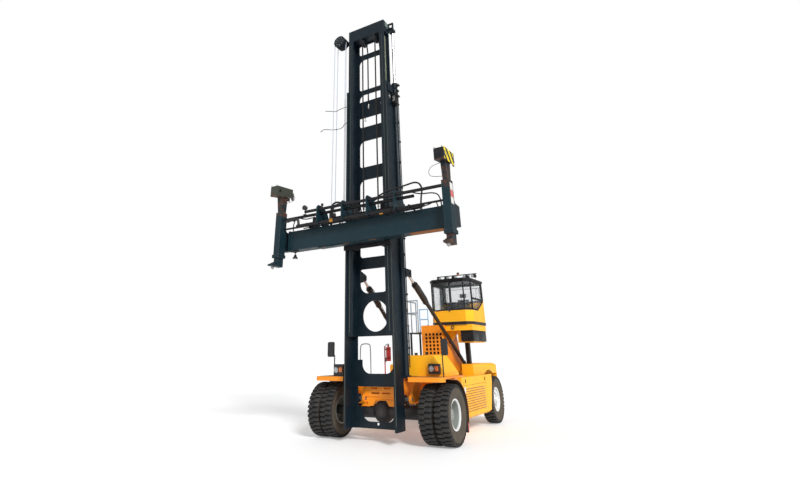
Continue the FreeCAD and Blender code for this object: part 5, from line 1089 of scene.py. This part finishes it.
# ------------------------------------------------------------------ tilt cylinders, axle and chassis
def tilt_fittings():
    """Pipes, clamps, glands and pin caps of the tilt cylinders."""
    for side, sign in SIDES:
        low, high = Vector((sign * 0.985, 4.10, 1.56)), Vector((sign * 0.78, 0.20, 4.25))
        along = (high - low).normalized()
        over = along.cross(Vector((1, 0, 0))).normalized()
        if over.z < 0:
            over = -over
        reach = (high - low).length
        place = lambda way, up: tuple(low + along * way + over * up)
        body = f"tilt_barrel_{side}"
        lines = [bent([place(0.35, 0.05), place(0.45, 0.085), place(0.9, 0.085), place(reach - 1.5, 0.085),
                       place(reach - 1.30, 0.165), place(reach - 1.0, 0.165), place(reach - 0.62, 0.165),
                       place(reach - 0.56, 0.08)], 0.011)]
        for way in (0.8, 1.5, 2.2, 2.9):
            lines.append(turned(place(way, 0), place(way + 1, 0),
                                [(0, 0.050), (0.003, 0.058), (0.035, 0.058), (0.038, 0.050)], 20))
            lines.append(bar(place(way + 0.019, 0.05), place(way + 0.019, 0.10), 0.014, 8))
        made(f"tilt_lines_{side}", "cylinder_brown", body, *lines)
        collar = [turned(place(reach - 0.53, 0), place(reach, 0),
                         [(0, 0.086), (0.004, 0.096), (0.045, 0.096), (0.049, 0.070), (0.060, 0.055)], 28),
                  turned(place(reach - 1.32, 0), place(reach, 0),
                         [(0, 0.052), (0.03, 0.086), (0.04, 0.090), (0.07, 0.090), (0.075, 0.086)], 28)]
        made(f"tilt_gland_{side}", "casting_black", body, *collar)
        gaiter = [turned(place(reach - 0.47 + 0.03 * number, 0), place(reach, 0),
                         [(0, 0.043), (0.008, 0.056), (0.014, 0.058), (0.020, 0.056), (0.028, 0.043)], 20)
                  for number in range(3)]
        made(f"tilt_wiper_{side}", "rubber_seal", body, *gaiter)
        cap = turned((sign * 1.091, 4.10, 1.56), (sign * 3, 4.10, 1.56),
                     [(0, 0.045), (0.006, 0.045), (0.010, 0.038), (0.011, 0.012)], 20)
        made(f"tilt_pin_cap_{side}", "pin_steel", "chassis", cap)


def axle_fittings():
    """Bolted cover of the drive axle's bowl with its plugs, and the brake drums."""
    flange = around(nut((0.23, -0.175, TYRE), (0.23, -1, TYRE), 0.022, 0.012, 0.1), (0, -0.175, TYRE),
                    (0, 1, 0), 12)
    cover = [turned((0, -0.262, TYRE), (0, -1, TYRE),
                    [(0, 0.115), (0.012, 0.112), (0.030, 0.085), (0.040, 0.045), (0.042, 0.02)], 32),
             flange]
    cover += [nut((0.05 * math.cos(turn), -0.302, TYRE + 0.05 * math.sin(turn)),
                  (0.05 * math.cos(turn), -1, TYRE + 0.05 * math.sin(turn)), 0.016, 0.008, 0.1)
              for turn in (0.5, 2.6, 4.7)]
    made("axle_cover", "casting_black", "chassis", *cover)
    drums = []
    for sign in (1, -1):
        drums.append(turned((sign * 1.10, 0, TYRE), (sign * 2, 0, TYRE),
                            [(0, 0.17), (0.01, 0.21), (0.12, 0.21), (0.13, 0.19), (0.14, 0.14)], 40))
    made("brake_drums", "casting_black", "chassis", *drums)


def deck_fittings():
    """Anti-slip bars, lamps, mirrors' glass and the flaps behind the drive wheels."""
    bars = []
    for sign in (1, -1):
        near, far = sorted((sign * 1.08, sign * 1.92))
        bars.append(row_of(slab((near, -0.44, 1.529), (far, -0.43, 1.533), 0.001), 6, (0, 0.055, 0)))
    made("deck_grip", "track_steel", "chassis", *bars)
    lenses, rings, amber = [], [], []
    for x, y, z in ((1.425, 0.0545, 1.71), (-1.305, -0.4305, 1.69)):
        rings.append(open_ring(turned((x, y, z), (x, y - 1, z),
                                      [(0, 0.066), (0.003, 0.074), (0.014, 0.074), (0.017, 0.066)], 32)))
        lenses.append(turned((x, y, z), (x, y - 1, z),
                             [(0, 0.066), (0.006, 0.062), (0.012, 0.040), (0.014, 0.012)], 32))
        amber.append(slab((x + 0.095, y - 0.010, z - 0.055), (x + 0.205, y + 0.001, z + 0.065), 0.008))
    made("head_lamp_lenses", "lamp_clear", "chassis", *lenses)
    made("head_lamp_rings", "bright_steel", "chassis", *rings)
    made("indicator_lenses", "lamp_amber", "chassis", *amber)
    made("mirror_glasses", "mirror_glass", "chassis",
         slab((1.935, -0.3052, 2.04), (2.08, -0.3035, 2.42), 0.0008),
         slab((-1.65, -0.3052, 2.04), (-1.465, -0.3035, 2.42), 0.0008))
    flaps, red = [], []
    for sign in (1, -1):
        near, far = sorted((sign * 1.33, sign * 2.07))
        flaps.append(slab((near, 0.715, 0.22), (far, 0.727, 0.46), 0.004))
        near, far = sorted((sign * 1.98, sign * 2.085))
        red.append(slab((near, 0.728, 0.23), (far, 0.733, 0.45), 0.0015))
    made("mud_flaps", "rubber_seal", "chassis", *flaps)
    made("mud_flap_marks", "marking_red", "chassis", *red)


def side_fittings():
    """Louvres, the painted shadow strips under them, doors, handles and steps of the side tanks."""
    lines, louvre_shadows, seams, handles = [], [], [], []
    for sign in (1, -1):
        near, far = sorted((sign * 1.7595, sign * 1.7665))
        lines.append(row_of(slab((near, 1.58, 0.56), (far, 3.28, 0.575), 0.002), 10, (0, 0, 0.062)))
        # Painted shadow: a thin dark strip under each louvre stands in for the shade it casts.
        near, far = sorted((sign * 1.7590, sign * 1.7612))
        louvre_shadows.append(row_of(slab((near, 1.58, 0.575), (far, 3.28, 0.597), 0.0008), 10, (0, 0, 0.062)))
        for y in (1.46, 3.42):
            seams.append(slab((near, y, 0.50), (far, y + 0.008, 1.43), 0.0008))
        seams.append(slab((near, 1.46, 1.235), (far, 3.43, 1.243), 0.0008))
        near, far = sorted((sign * 1.760, sign * 1.775))
        handles.append(slab((near, 1.60, 1.30), (far, 1.64, 1.40), 0.005))
        handles.append(slab((near, 1.54, 0.98), (far, 1.565, 1.03), 0.004))
        handles.append(slab((near, 3.30, 1.30), (far, 3.34, 1.40), 0.005))
    made("panel_louvres", "body_yellow", "chassis", *lines)
    made("panel_louvre_painted_shadows", "louvre_painted_shadow", "chassis", *louvre_shadows)
    made("panel_seams", "rubber_seal", "chassis", *seams)
    made("panel_handles", "plastic_black", "chassis", *handles)
    made("blank_side_plate", "blank_white", "chassis",
         slab((1.7598, 1.50, 1.05), (1.7615, 1.62, 1.20), 0.0008))
    steps = []
    for level in (0.42, 0.74, 1.06):
        steps.append(slab((-1.97, 1.72, level), (-1.765, 2.20, level + 0.035), 0.006))
        steps.append(row_of(slab((-1.95, 1.75, level + 0.034), (-1.79, 1.765, level + 0.040), 0.001), 9,
                            (0, 0.05, 0)))
    for y in (1.70, 2.19):
        steps.append(slab((-1.98, y, 0.40), (-1.76, y + 0.022, 1.44), 0.006))
    made("side_steps", "frame_black", "chassis", *steps)
    grip = [bent([(-1.74, 1.66, 1.46), (-1.80, 1.66, 1.60), (-1.80, 1.66, 2.30), (-1.74, 1.66, 2.40),
                  (-1.45, 1.66, 2.40), (-1.40, 1.66, 2.30), (-1.40, 1.66, 1.44)], 0.017)]
    made("side_grab_rail", "rail_grey", "chassis", *grip)


# ------------------------------------------------------------------ hood, cooler and rear
def cooler_core():
    """Finned core behind the grille's square holes."""
    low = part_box("cooler_housing")[0]
    front = low[1] - AXLE_Y + 0.10
    fins = row_of(slab((0.12, front, 1.58), (0.765, front + 0.03, 1.588), 0.001), 66, (0, 0, 0.019))
    tubes = row_of(slab((0.13, front + 0.005, 1.57), (0.142, front + 0.026, 2.84), 0.001), 14, (0.047, 0, 0))
    made("cooler_core", "cooler_core", "chassis", fins, tubes)


def hood_fittings():
    """Latches and slats of the hood, the filler on the tank and the stack's cap."""
    slats = row_of(slab((-0.30, 2.0, 1.9495), (0.50, 2.03, 1.962), 0.003), 9, (0, 0.055, 0))
    latches = [slab((-0.5065, y, 1.62), (-0.4985, y + 0.10, 1.70), 0.003) for y in (1.8, 3.3)]
    latches += [slab((-0.515, y + 0.03, 1.64), (-0.504, y + 0.07, 1.68), 0.003) for y in (1.8, 3.3)]
    side = row_of(slab((-0.5045, 2.2, 1.50), (-0.4985, 2.9, 1.512), 0.002), 6, (0, 0, 0.035))
    made("hood_slats", "plastic_black", "chassis", slats, side, *latches)
    seams = [slab((-0.49, 1.95, 1.9498), (0.69, 1.956, 1.9515), 0.0006),
             slab((-0.49, 3.05, 1.9498), (0.06, 3.056, 1.9515), 0.0006)]
    made("hood_seams", "rubber_seal", "chassis", *seams)
    filler = turned((0.62, 0.85, 2.038), (0.62, 0.85, 3),
                    [(0, 0.055), (0.012, 0.055), (0.014, 0.042), (0.035, 0.042), (0.036, 0.050),
                     (0.062, 0.048), (0.068, 0.040)], 24)
    breather = turned((0.92, 0.90, 2.038), (0.92, 0.90, 3),
                      [(0, 0.030), (0.02, 0.030), (0.022, 0.020), (0.05, 0.020), (0.051, 0.035),
                       (0.085, 0.033), (0.09, 0.02)], 20)
    made("tank_fillers", "casting_black", "chassis", filler, breather)
    cover = [slab((0.46, 0.1475, 1.80), (0.56, 0.151, 1.815), 0.0015),
             slab((0.348, 0.30, 1.78), (0.3505, 0.36, 1.80), 0.001)]
    cover += [slab((0.345, 0.45, 1.62), (0.3515, 0.47, 1.95), 0.002)]
    made("cover_handles", "plastic_black", "chassis", *cover)
    edges = [bar((1.772, 0.16, 1.612), (1.772, 1.09, 1.612), 0.006, 8),
             slab((0.36, 0.1478, 1.555), (1.30, 0.1506, 1.562), 0.001)]
    made("cover_edges", "body_yellow", "chassis", *edges)
    stack = [turned((-0.25, 3.72, 2.93), (-0.25, 3.72, 4), [(0, 0.054), (0.012, 0.058), (0.02, 0.054)], 28),
             slab((-0.255, 3.775, 2.94), (-0.245, 3.80, 2.975), 0.002)]
    lid = turned((-0.25, 3.715, 2.957), (-0.25, 3.60, 3.05),
                 [(0, 0.052), (0.003, 0.056), (0.008, 0.056), (0.010, 0.040)], 28)
    bands = [turned((-0.25, 3.72, z), (-0.25, 3.72, 4),
                    [(0, 0.080), (0.003, 0.088), (0.032, 0.088), (0.035, 0.080)], 28)
             for z in (2.05, 2.35, 2.58)]
    made("exhaust_cap", "exhaust_steel", "chassis", lid, *stack, *bands)


def extinguisher_fittings():
    """Valve, gauge, straps, hose and nozzle of the fire extinguisher."""
    x, y = -1.15, 2.40
    head = [turned((x, y, 2.348), (x, y, 3),
                   [(0, 0.026), (0.02, 0.026), (0.022, 0.018), (0.05, 0.018), (0.055, 0.010)], 16),
            slab((x - 0.02, y - 0.12, 2.385), (x + 0.02, y + 0.03, 2.395), 0.003),
            slab((x - 0.016, y - 0.11, 2.352), (x + 0.016, y + 0.02, 2.360), 0.003)]
    made("extinguisher_valve", "plastic_black", "chassis", *head)
    made("extinguisher_gauge", "bright_steel", "chassis",
         turned((x, y - 0.018, 2.374), (x, y - 1, 2.374),
                [(0, 0.014), (0.014, 0.014), (0.018, 0.011), (0.019, 0.004)], 16))
    straps = [turned((x, y, z), (x, y, 4), [(0, 0.0805), (0.002, 0.084), (0.028, 0.084), (0.030, 0.0805)], 32)
              for z in (1.95, 2.22)]
    made("extinguisher_straps", "frame_black", "chassis", *straps)
    hose("extinguisher_hose", "chassis",
         [(x - 0.020, y, 2.352), (x - 0.09, y - 0.01, 2.40), (x - 0.115, y - 0.03, 2.25),
          (x - 0.10, y - 0.05, 2.05), (x - 0.075, y - 0.075, 1.93)], 0.018, 0.53)
    nozzle = turned((x - 0.075, y - 0.075, 1.95), (x - 0.06, y - 0.08, 1.80),
                    [(0, 0.011), (0.02, 0.013), (0.09, 0.020), (0.095, 0.016)], 16)
    made("extinguisher_nozzle", "plastic_black", "chassis", nozzle)


def counterweight_fittings():
    """Tail lamps, indicators, their rings, reflectors and lifting eyes."""
    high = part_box("counterweight")[1]
    rear = high[1] - AXLE_Y
    lamps, rings, amber = [], [], []
    for sign in (1, -1):
        x = sign * 0.86
        rings.append(open_ring(turned((x, rear - 0.001, 1.10), (x, rear + 1, 1.10),
                                      [(0, 0.062), (0.002, 0.074), (0.014, 0.074), (0.016, 0.062)], 32)))
        lamps.append(turned((x, rear - 0.001, 1.10), (x, rear + 1, 1.10),
                            [(0, 0.062), (0.006, 0.060), (0.014, 0.040), (0.017, 0.012)], 32))
        x = sign * 0.69
        rings.append(open_ring(turned((x, rear - 0.001, 1.10), (x, rear + 1, 1.10),
                                      [(0, 0.046), (0.002, 0.056), (0.014, 0.056), (0.016, 0.046)], 28)))
        amber.append(turned((x, rear - 0.001, 1.10), (x, rear + 1, 1.10),
                            [(0, 0.046), (0.006, 0.044), (0.012, 0.028), (0.014, 0.010)], 28))
    made("tail_lamp_lenses", "lamp_red", "chassis", *lamps)
    made("tail_indicator_lenses", "lamp_amber", "chassis", *amber)
    made("tail_lamp_rings", "plastic_black", "chassis", *rings)
    marks = [row_of(slab((-0.75, rear - 0.001, 0.70), (-0.60, rear + 0.0015, 0.76), 0.0008), 2, (1.35, 0, 0))]
    made("tail_reflectors", "lamp_red", "chassis", *marks)
    eyes = []
    for sign in (1, -1):
        eyes.append(turned((sign * 0.62, 4.75, high[2] - 0.002), (sign * 0.62, 4.75, 3),
                           [(0, 0.075), (0.006, 0.075), (0.010, 0.060), (0.012, 0.03)], 28))
        eyes.append(bent([(sign * 0.62 - 0.04, 4.75, high[2] + 0.004),
                          (sign * 0.62 - 0.045, 4.75, high[2] + 0.075),
                          (sign * 0.62 + 0.045, 4.75, high[2] + 0.075),
                          (sign * 0.62 + 0.04, 4.75, high[2] + 0.004)], 0.014))
    made("lifting_eyes", "frame_black", "chassis", *eyes)


# ------------------------------------------------------------------ cab
def window_seal(corners, radius):
    """Rubber bead along a closed line of corners."""
    runs = []
    for start, end in zip(corners, corners[1:] + corners[:1]):
        runs.append(bar(start, end, radius, 8))
        runs.append(turned((start[0], start[1], start[2] - radius), (start[0], start[1], start[2] + 1),
                           [(0, radius * 0.6), (radius * 0.4, radius), (radius * 1.6, radius),
                            (radius * 2, radius * 0.6)], 8))
    return runs


def cab_seals():
    """Rubber beads round the windows."""
    front = 2.6975
    runs = window_seal([(0.50, front, 3.39), (1.54, front, 3.39), (1.54, front, 4.255),
                        (0.50, front, 4.255)], 0.008)
    side = 1.7425
    runs += window_seal([(side, 2.975, 3.755), (side, 4.02, 3.755), (side, 4.02, 4.255),
                         (side, 2.975, 4.255)], 0.007)
    runs += window_seal([(side, 2.975, 3.39), (side, 3.45, 3.39), (side, 3.985, 3.655), (side, 3.985, 3.70),
                         (side, 2.975, 3.70)], 0.007)
    rear = 4.1025
    runs += window_seal([(0.42, rear, 3.735), (1.62, rear, 3.735), (1.62, rear, 4.165), (0.42, rear, 4.165)],
                        0.007)
    made("cab_window_seals", "rubber_seal", "chassis", *runs)


def cab_fittings():
    """Wipers, horn, grab rail, console, levers, inner pillar and door handle."""
    wiper = [turned((1.02, 2.70, 3.345), (1.02, 2.6, 3.345),
                    [(0, 0.024), (0.012, 0.024), (0.02, 0.016), (0.022, 0.006)], 20),
             bent([(1.02, 2.685, 3.345), (1.02, 2.682, 3.45), (0.90, 2.684, 3.80), (0.86, 2.688, 3.92)],
                  0.006),
             slab((0.846, 2.686, 3.62), (0.862, 2.697, 4.12), 0.002),
             turned((1.74, 3.30, 3.735), (1.8, 3.30, 3.735), [(0, 0.020), (0.010, 0.020), (0.016, 0.012)],
                    16),
             bent([(1.751, 3.30, 3.735), (1.752, 3.36, 3.90), (1.752, 3.44, 4.08)], 0.005),
             slab((1.744, 3.30, 4.06), (1.750, 3.58, 4.07), 0.001)]
    made("cab_wipers", "plastic_black", "chassis", *wiper)
    horn = [turned((1.08, 2.80, 2.84), (1.08, 2.5, 2.84),
                   [(0, 0.020), (0.04, 0.022), (0.07, 0.034), (0.09, 0.055), (0.096, 0.055), (0.09, 0.045),
                    (0.06, 0.016)], 24),
            slab((1.065, 2.79, 2.83), (1.095, 2.85, 2.93), 0.003)]
    made("cab_horn", "plastic_black", "chassis", *horn)
    grips = [bent([(0.262, 3.86, 3.02), (0.215, 3.86, 3.06), (0.215, 3.86, 3.95), (0.262, 3.86, 4.0)], 0.013)]
    made("cab_grab_rail", "rail_grey", "chassis", *grips)
    panel = [slab((0.80, 2.765, 3.36), (1.40, 2.86, 3.50), 0.02),
             slab((0.98, 2.80, 3.49), (1.22, 2.83, 3.62), 0.012),
             slab((1.42, 3.16, 2.98), (1.62, 3.72, 3.42), 0.025),
             slab((1.40, 3.14, 3.42), (1.64, 3.62, 3.46), 0.015)]
    levers = [bar((1.50 + 0.05 * number, 3.22, 3.455), (1.50 + 0.05 * number, 3.19, 3.56), 0.008, 10)
              for number in range(3)]
    levers += [turned((1.50 + 0.05 * number, 3.19, 3.55), (1.50 + 0.05 * number, 3.18, 3.7),
                      [(0, 0.010), (0.008, 0.017), (0.022, 0.019), (0.034, 0.012), (0.037, 0.004)], 16)
               for number in range(3)]
    made("cab_console", "plastic_black", "chassis", *panel, *levers)
    made("cab_pillar_inside", "frame_black", "chassis",
         slab((1.02, 2.752, 3.36), (1.10, 2.775, 4.285), 0.008))
    made("cab_mark_red", "safety_red", "chassis", slab((0.535, 2.694, 3.335), (0.66, 2.698, 3.352), 0.001))
    door = [slab((0.285, 3.055, 3.55), (0.302, 3.085, 3.70), 0.004),
            bent([(0.303, 3.07, 3.56), (0.262, 3.07, 3.57), (0.262, 3.07, 3.68), (0.303, 3.07, 3.69)], 0.008)]
    made("cab_door_handle", "plastic_black", "cab_door", *door)


def cab_wheel():
    """Steering wheel with a padded rim, three spokes and a knob."""
    centre = (1.10, 3.05, 3.605)
    rim = turned((centre[0], centre[1], 3.585), (centre[0], centre[1], 4),
                 [(0, 0.178), (0.002, 0.186), (0.010, 0.191), (0.020, 0.191), (0.028, 0.186),
                  (0.030, 0.178)], 40)
    hub = turned((centre[0], centre[1], 3.575), (centre[0], centre[1], 4),
                 [(0, 0.034), (0.02, 0.040), (0.035, 0.036), (0.04, 0.02)], 24)
    spoke = slab((centre[0] - 0.010, centre[1] + 0.03, 3.592), (centre[0] + 0.010, centre[1] + 0.176, 3.602),
                 0.003)
    made("steering_wheel_trim", "plastic_black", "chassis", open_ring(rim), hub,
         around(spoke, centre, (0, 0, 1), 3))


def roof_fittings():
    """Lenses of the roof lamps, the beacon's dome, an aerial and the roof's ribs."""
    front = 3.35
    lenses = []
    for number in range(5):
        x = 0.50 + (1.69 - 0.50) * number / 4
        lenses.append(turned((x, front + 0.002, 4.485), (x, front - 1, 4.485),
                             [(0, 0.052), (0.006, 0.050), (0.012, 0.032), (0.014, 0.010)], 28))
    made("roof_lamp_lenses", "lamp_clear", "chassis", *lenses)
    dome = turned((1.164, 3.40, 4.572), (1.164, 3.40, 6),
                  [(0, 0.046), (0.050, 0.044), (0.066, 0.036), (0.074, 0.022), (0.077, 0.006)], 28)
    made("beacon_dome", "lamp_amber", "chassis", dome)
    antenna = bent([(1.60, 3.95, 4.37), (1.60, 3.95, 4.50), (1.60, 3.98, 4.68)], 0.004)
    made("roof_antenna", "plastic_black", "chassis", antenna)
    slats = row_of(slab((0.60, 3.55, 4.368), (1.45, 3.575, 4.376), 0.002), 8, (0, 0.055, 0))
    made("roof_ribs", "frame_black", "chassis", slats)


def cushion(name, low, high, cap):
    """Padded block: its skin is remeshed, blown up a little by cloth pressure and smoothed."""
    piece = slab(low, high, 0.028)
    piece.name = name
    picked(piece)
    bpy.ops.object.modifier_add(type="REMESH")
    skin = piece.modifiers[-1]
    skin.mode = "VOXEL"
    skin.voxel_size = 0.006
    bpy.ops.object.modifier_apply(modifier=skin.name)
    rest = [corner.co.copy() for corner in piece.data.vertices]
    bpy.ops.object.modifier_add(type="CLOTH")
    pressure = piece.modifiers[-1]
    pressure.settings.use_pressure = True
    pressure.settings.uniform_pressure_force = 4
    pressure.settings.effector_weights.gravity = 0
    for number in range(CLOTH_FRAMES):
        bpy.context.scene.frame_set(number + 1)
    bpy.ops.object.modifier_apply(modifier=pressure.name)
    bpy.context.scene.frame_set(1)
    for corner, start in zip(piece.data.vertices, rest):
        move = corner.co - start
        if move.length > cap:
            corner.co = start + move.normalized() * cap
    bpy.ops.object.modifier_add(type="SUBSURF")
    bpy.ops.object.modifier_apply(modifier=piece.modifiers[-1].name)
    return piece


def seat():
    """Seat cushion, back and head rest as cloth on foam, on the seat's frame and the head rest's posts."""
    x = 1.10
    parts = {"seat_cushion": ((x - 0.235, 3.275, 3.245), (x + 0.235, 3.735, 3.335), 0.014, 0.0),
             "seat_back": ((x - 0.205, 3.735, 3.36), (x + 0.205, 3.815, 3.80), 0.012, -0.17),
             "seat_head_rest": ((x - 0.12, 3.835, 3.845), (x + 0.12, 3.895, 3.985), 0.008, -0.10)}
    for name, (low, high, cap, lean) in parts.items():
        pad = cushion(name, low, high, cap)
        pad.data.transform(about((x, low[1] + 0.03, low[2]), lean, "X"))
        made(name, "seat_cloth", "chassis", pad)
    shell = [slab((x - 0.15, 3.38, 2.985), (x + 0.15, 3.72, 3.02), 0.006),
             slab((x - 0.11, 3.42, 3.02), (x + 0.11, 3.68, 3.21), 0.010),
             slab((x - 0.245, 3.28, 3.205), (x + 0.245, 3.75, 3.243), 0.012),
             bar((x - 0.07, 3.855, 3.74), (x - 0.07, 3.87, 3.86), 0.008),
             bar((x + 0.07, 3.855, 3.74), (x + 0.07, 3.87, 3.86), 0.008)]
    back = slab((x - 0.20, 3.835, 3.36), (x + 0.20, 3.85, 3.80), 0.006)
    back.data.transform(about((x, 3.76, 3.36), -0.14, "X"))
    base = made("seat_base", "plastic_black", "chassis", *shell, back)
    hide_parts("driver_seat")


def battery_fittings():
    """Lid, door panels and bolts of the battery box."""
    lid = [slab((1.305, 2.795, 2.738), (1.725, 4.075, 2.752), 0.004),
           slab((1.7185, 3.35, 2.60), (1.728, 3.45, 2.70), 0.003),
           slab((1.7195, 2.84, 2.455), (1.7225, 3.28, 2.66), 0.001),
           slab((1.7195, 3.52, 2.455), (1.7225, 4.02, 2.66), 0.001)]
    made("battery_lid", "plastic_black", "chassis", *lid)
    tray = [nut((1.731, y, 2.405), (3, y, 2.405), 0.018, 0.008, 0.1) for y in (2.9, 3.3, 3.7, 4.0)]
    made("battery_bolts", "bolt_zinc", "chassis", *tray)


# ------------------------------------------------------------------ camera, floor and light
CAMERA_PLACE, CAMERA_TURN = (7.066, -14.461, 2.072), (2.00298, 0.01322, 0.53872)
CAMERA_LENS, CAMERA_SHIFT = 20.80, (0.0367, -0.1231)
FLOOR_GLOW, SKY, KEY, FILL = 0.22, 0.52, 3.0, 0.25


def stage_and_camera():
    """Floor, sky, two soft lights and the camera."""
    bpy.ops.mesh.primitive_plane_add(size=240, location=(0, 20, cad_box[0][2]))
    floor = bpy.context.object
    floor.name = "studio_floor"
    material, tree, shader, place = new_material("studio_floor")
    tree.links.new(mixed(tree, noise(tree, place, 0.4, 3), (0.86, 0.86, 0.86), (0.84, 0.845, 0.85)),
                   shader.inputs["Base Color"])
    shader.inputs["Roughness"].default_value = 0.6
    shader.inputs["Emission Color"].default_value = (1, 1, 1, 1)
    shader.inputs["Emission Strength"].default_value = FLOOR_GLOW
    floor.data.materials.append(material)
    world = bpy.data.worlds.new("soft_sky")
    bpy.context.scene.world = world
    world.use_nodes = True
    sky = world.node_tree.nodes["Background"]
    sky.inputs["Color"].default_value = (1.0, 1.0, 1.0, 1)
    seen = world.node_tree.nodes.new("ShaderNodeLightPath")
    strength = world.node_tree.nodes.new("ShaderNodeMapRange")
    strength.inputs["To Min"].default_value = SKY
    strength.inputs["To Max"].default_value = 1.0
    world.node_tree.links.new(seen.outputs["Is Camera Ray"], strength.inputs["Value"])
    world.node_tree.links.new(strength.outputs["Result"], sky.inputs["Strength"])
    for name, source, spread, power in (("key_light", (22, -17, 17), 14, KEY),
                                        ("fill_light", (-20, -14, 10), 40, FILL)):
        bpy.ops.object.light_add(type="SUN", location=source)
        light = bpy.context.object
        light.name = name
        light.data.angle = math.radians(spread)
        light.data.energy = power
        light.rotation_euler = (-Vector(source)).to_track_quat("-Z", "Y").to_euler()
    bpy.ops.object.camera_add(location=CAMERA_PLACE, rotation=CAMERA_TURN)
    camera = bpy.context.object
    camera.data.sensor_width = 36
    camera.data.lens = CAMERA_LENS
    camera.data.shift_x, camera.data.shift_y = CAMERA_SHIFT
    camera.data.clip_end = 500
    bpy.context.scene.camera = camera
    bpy.context.scene.view_settings.view_transform = "Standard"


stage_and_camera()
for build in (tyres, wheel_fittings, hoist_chains, supply_hoses, drum_details, mast_tracks, mast_pipework,
              mast_bolts, spreader_hoses, spreader_valves, guide_bar_fittings, spreader_fittings,
              carriage_fittings, tilt_fittings, axle_fittings, deck_fittings, side_fittings, cooler_core,
              hood_fittings, extinguisher_fittings, counterweight_fittings, cab_seals, cab_fittings,
              cab_wheel, roof_fittings, seat, battery_fittings):
    build()
bpy.context.view_layer.update()
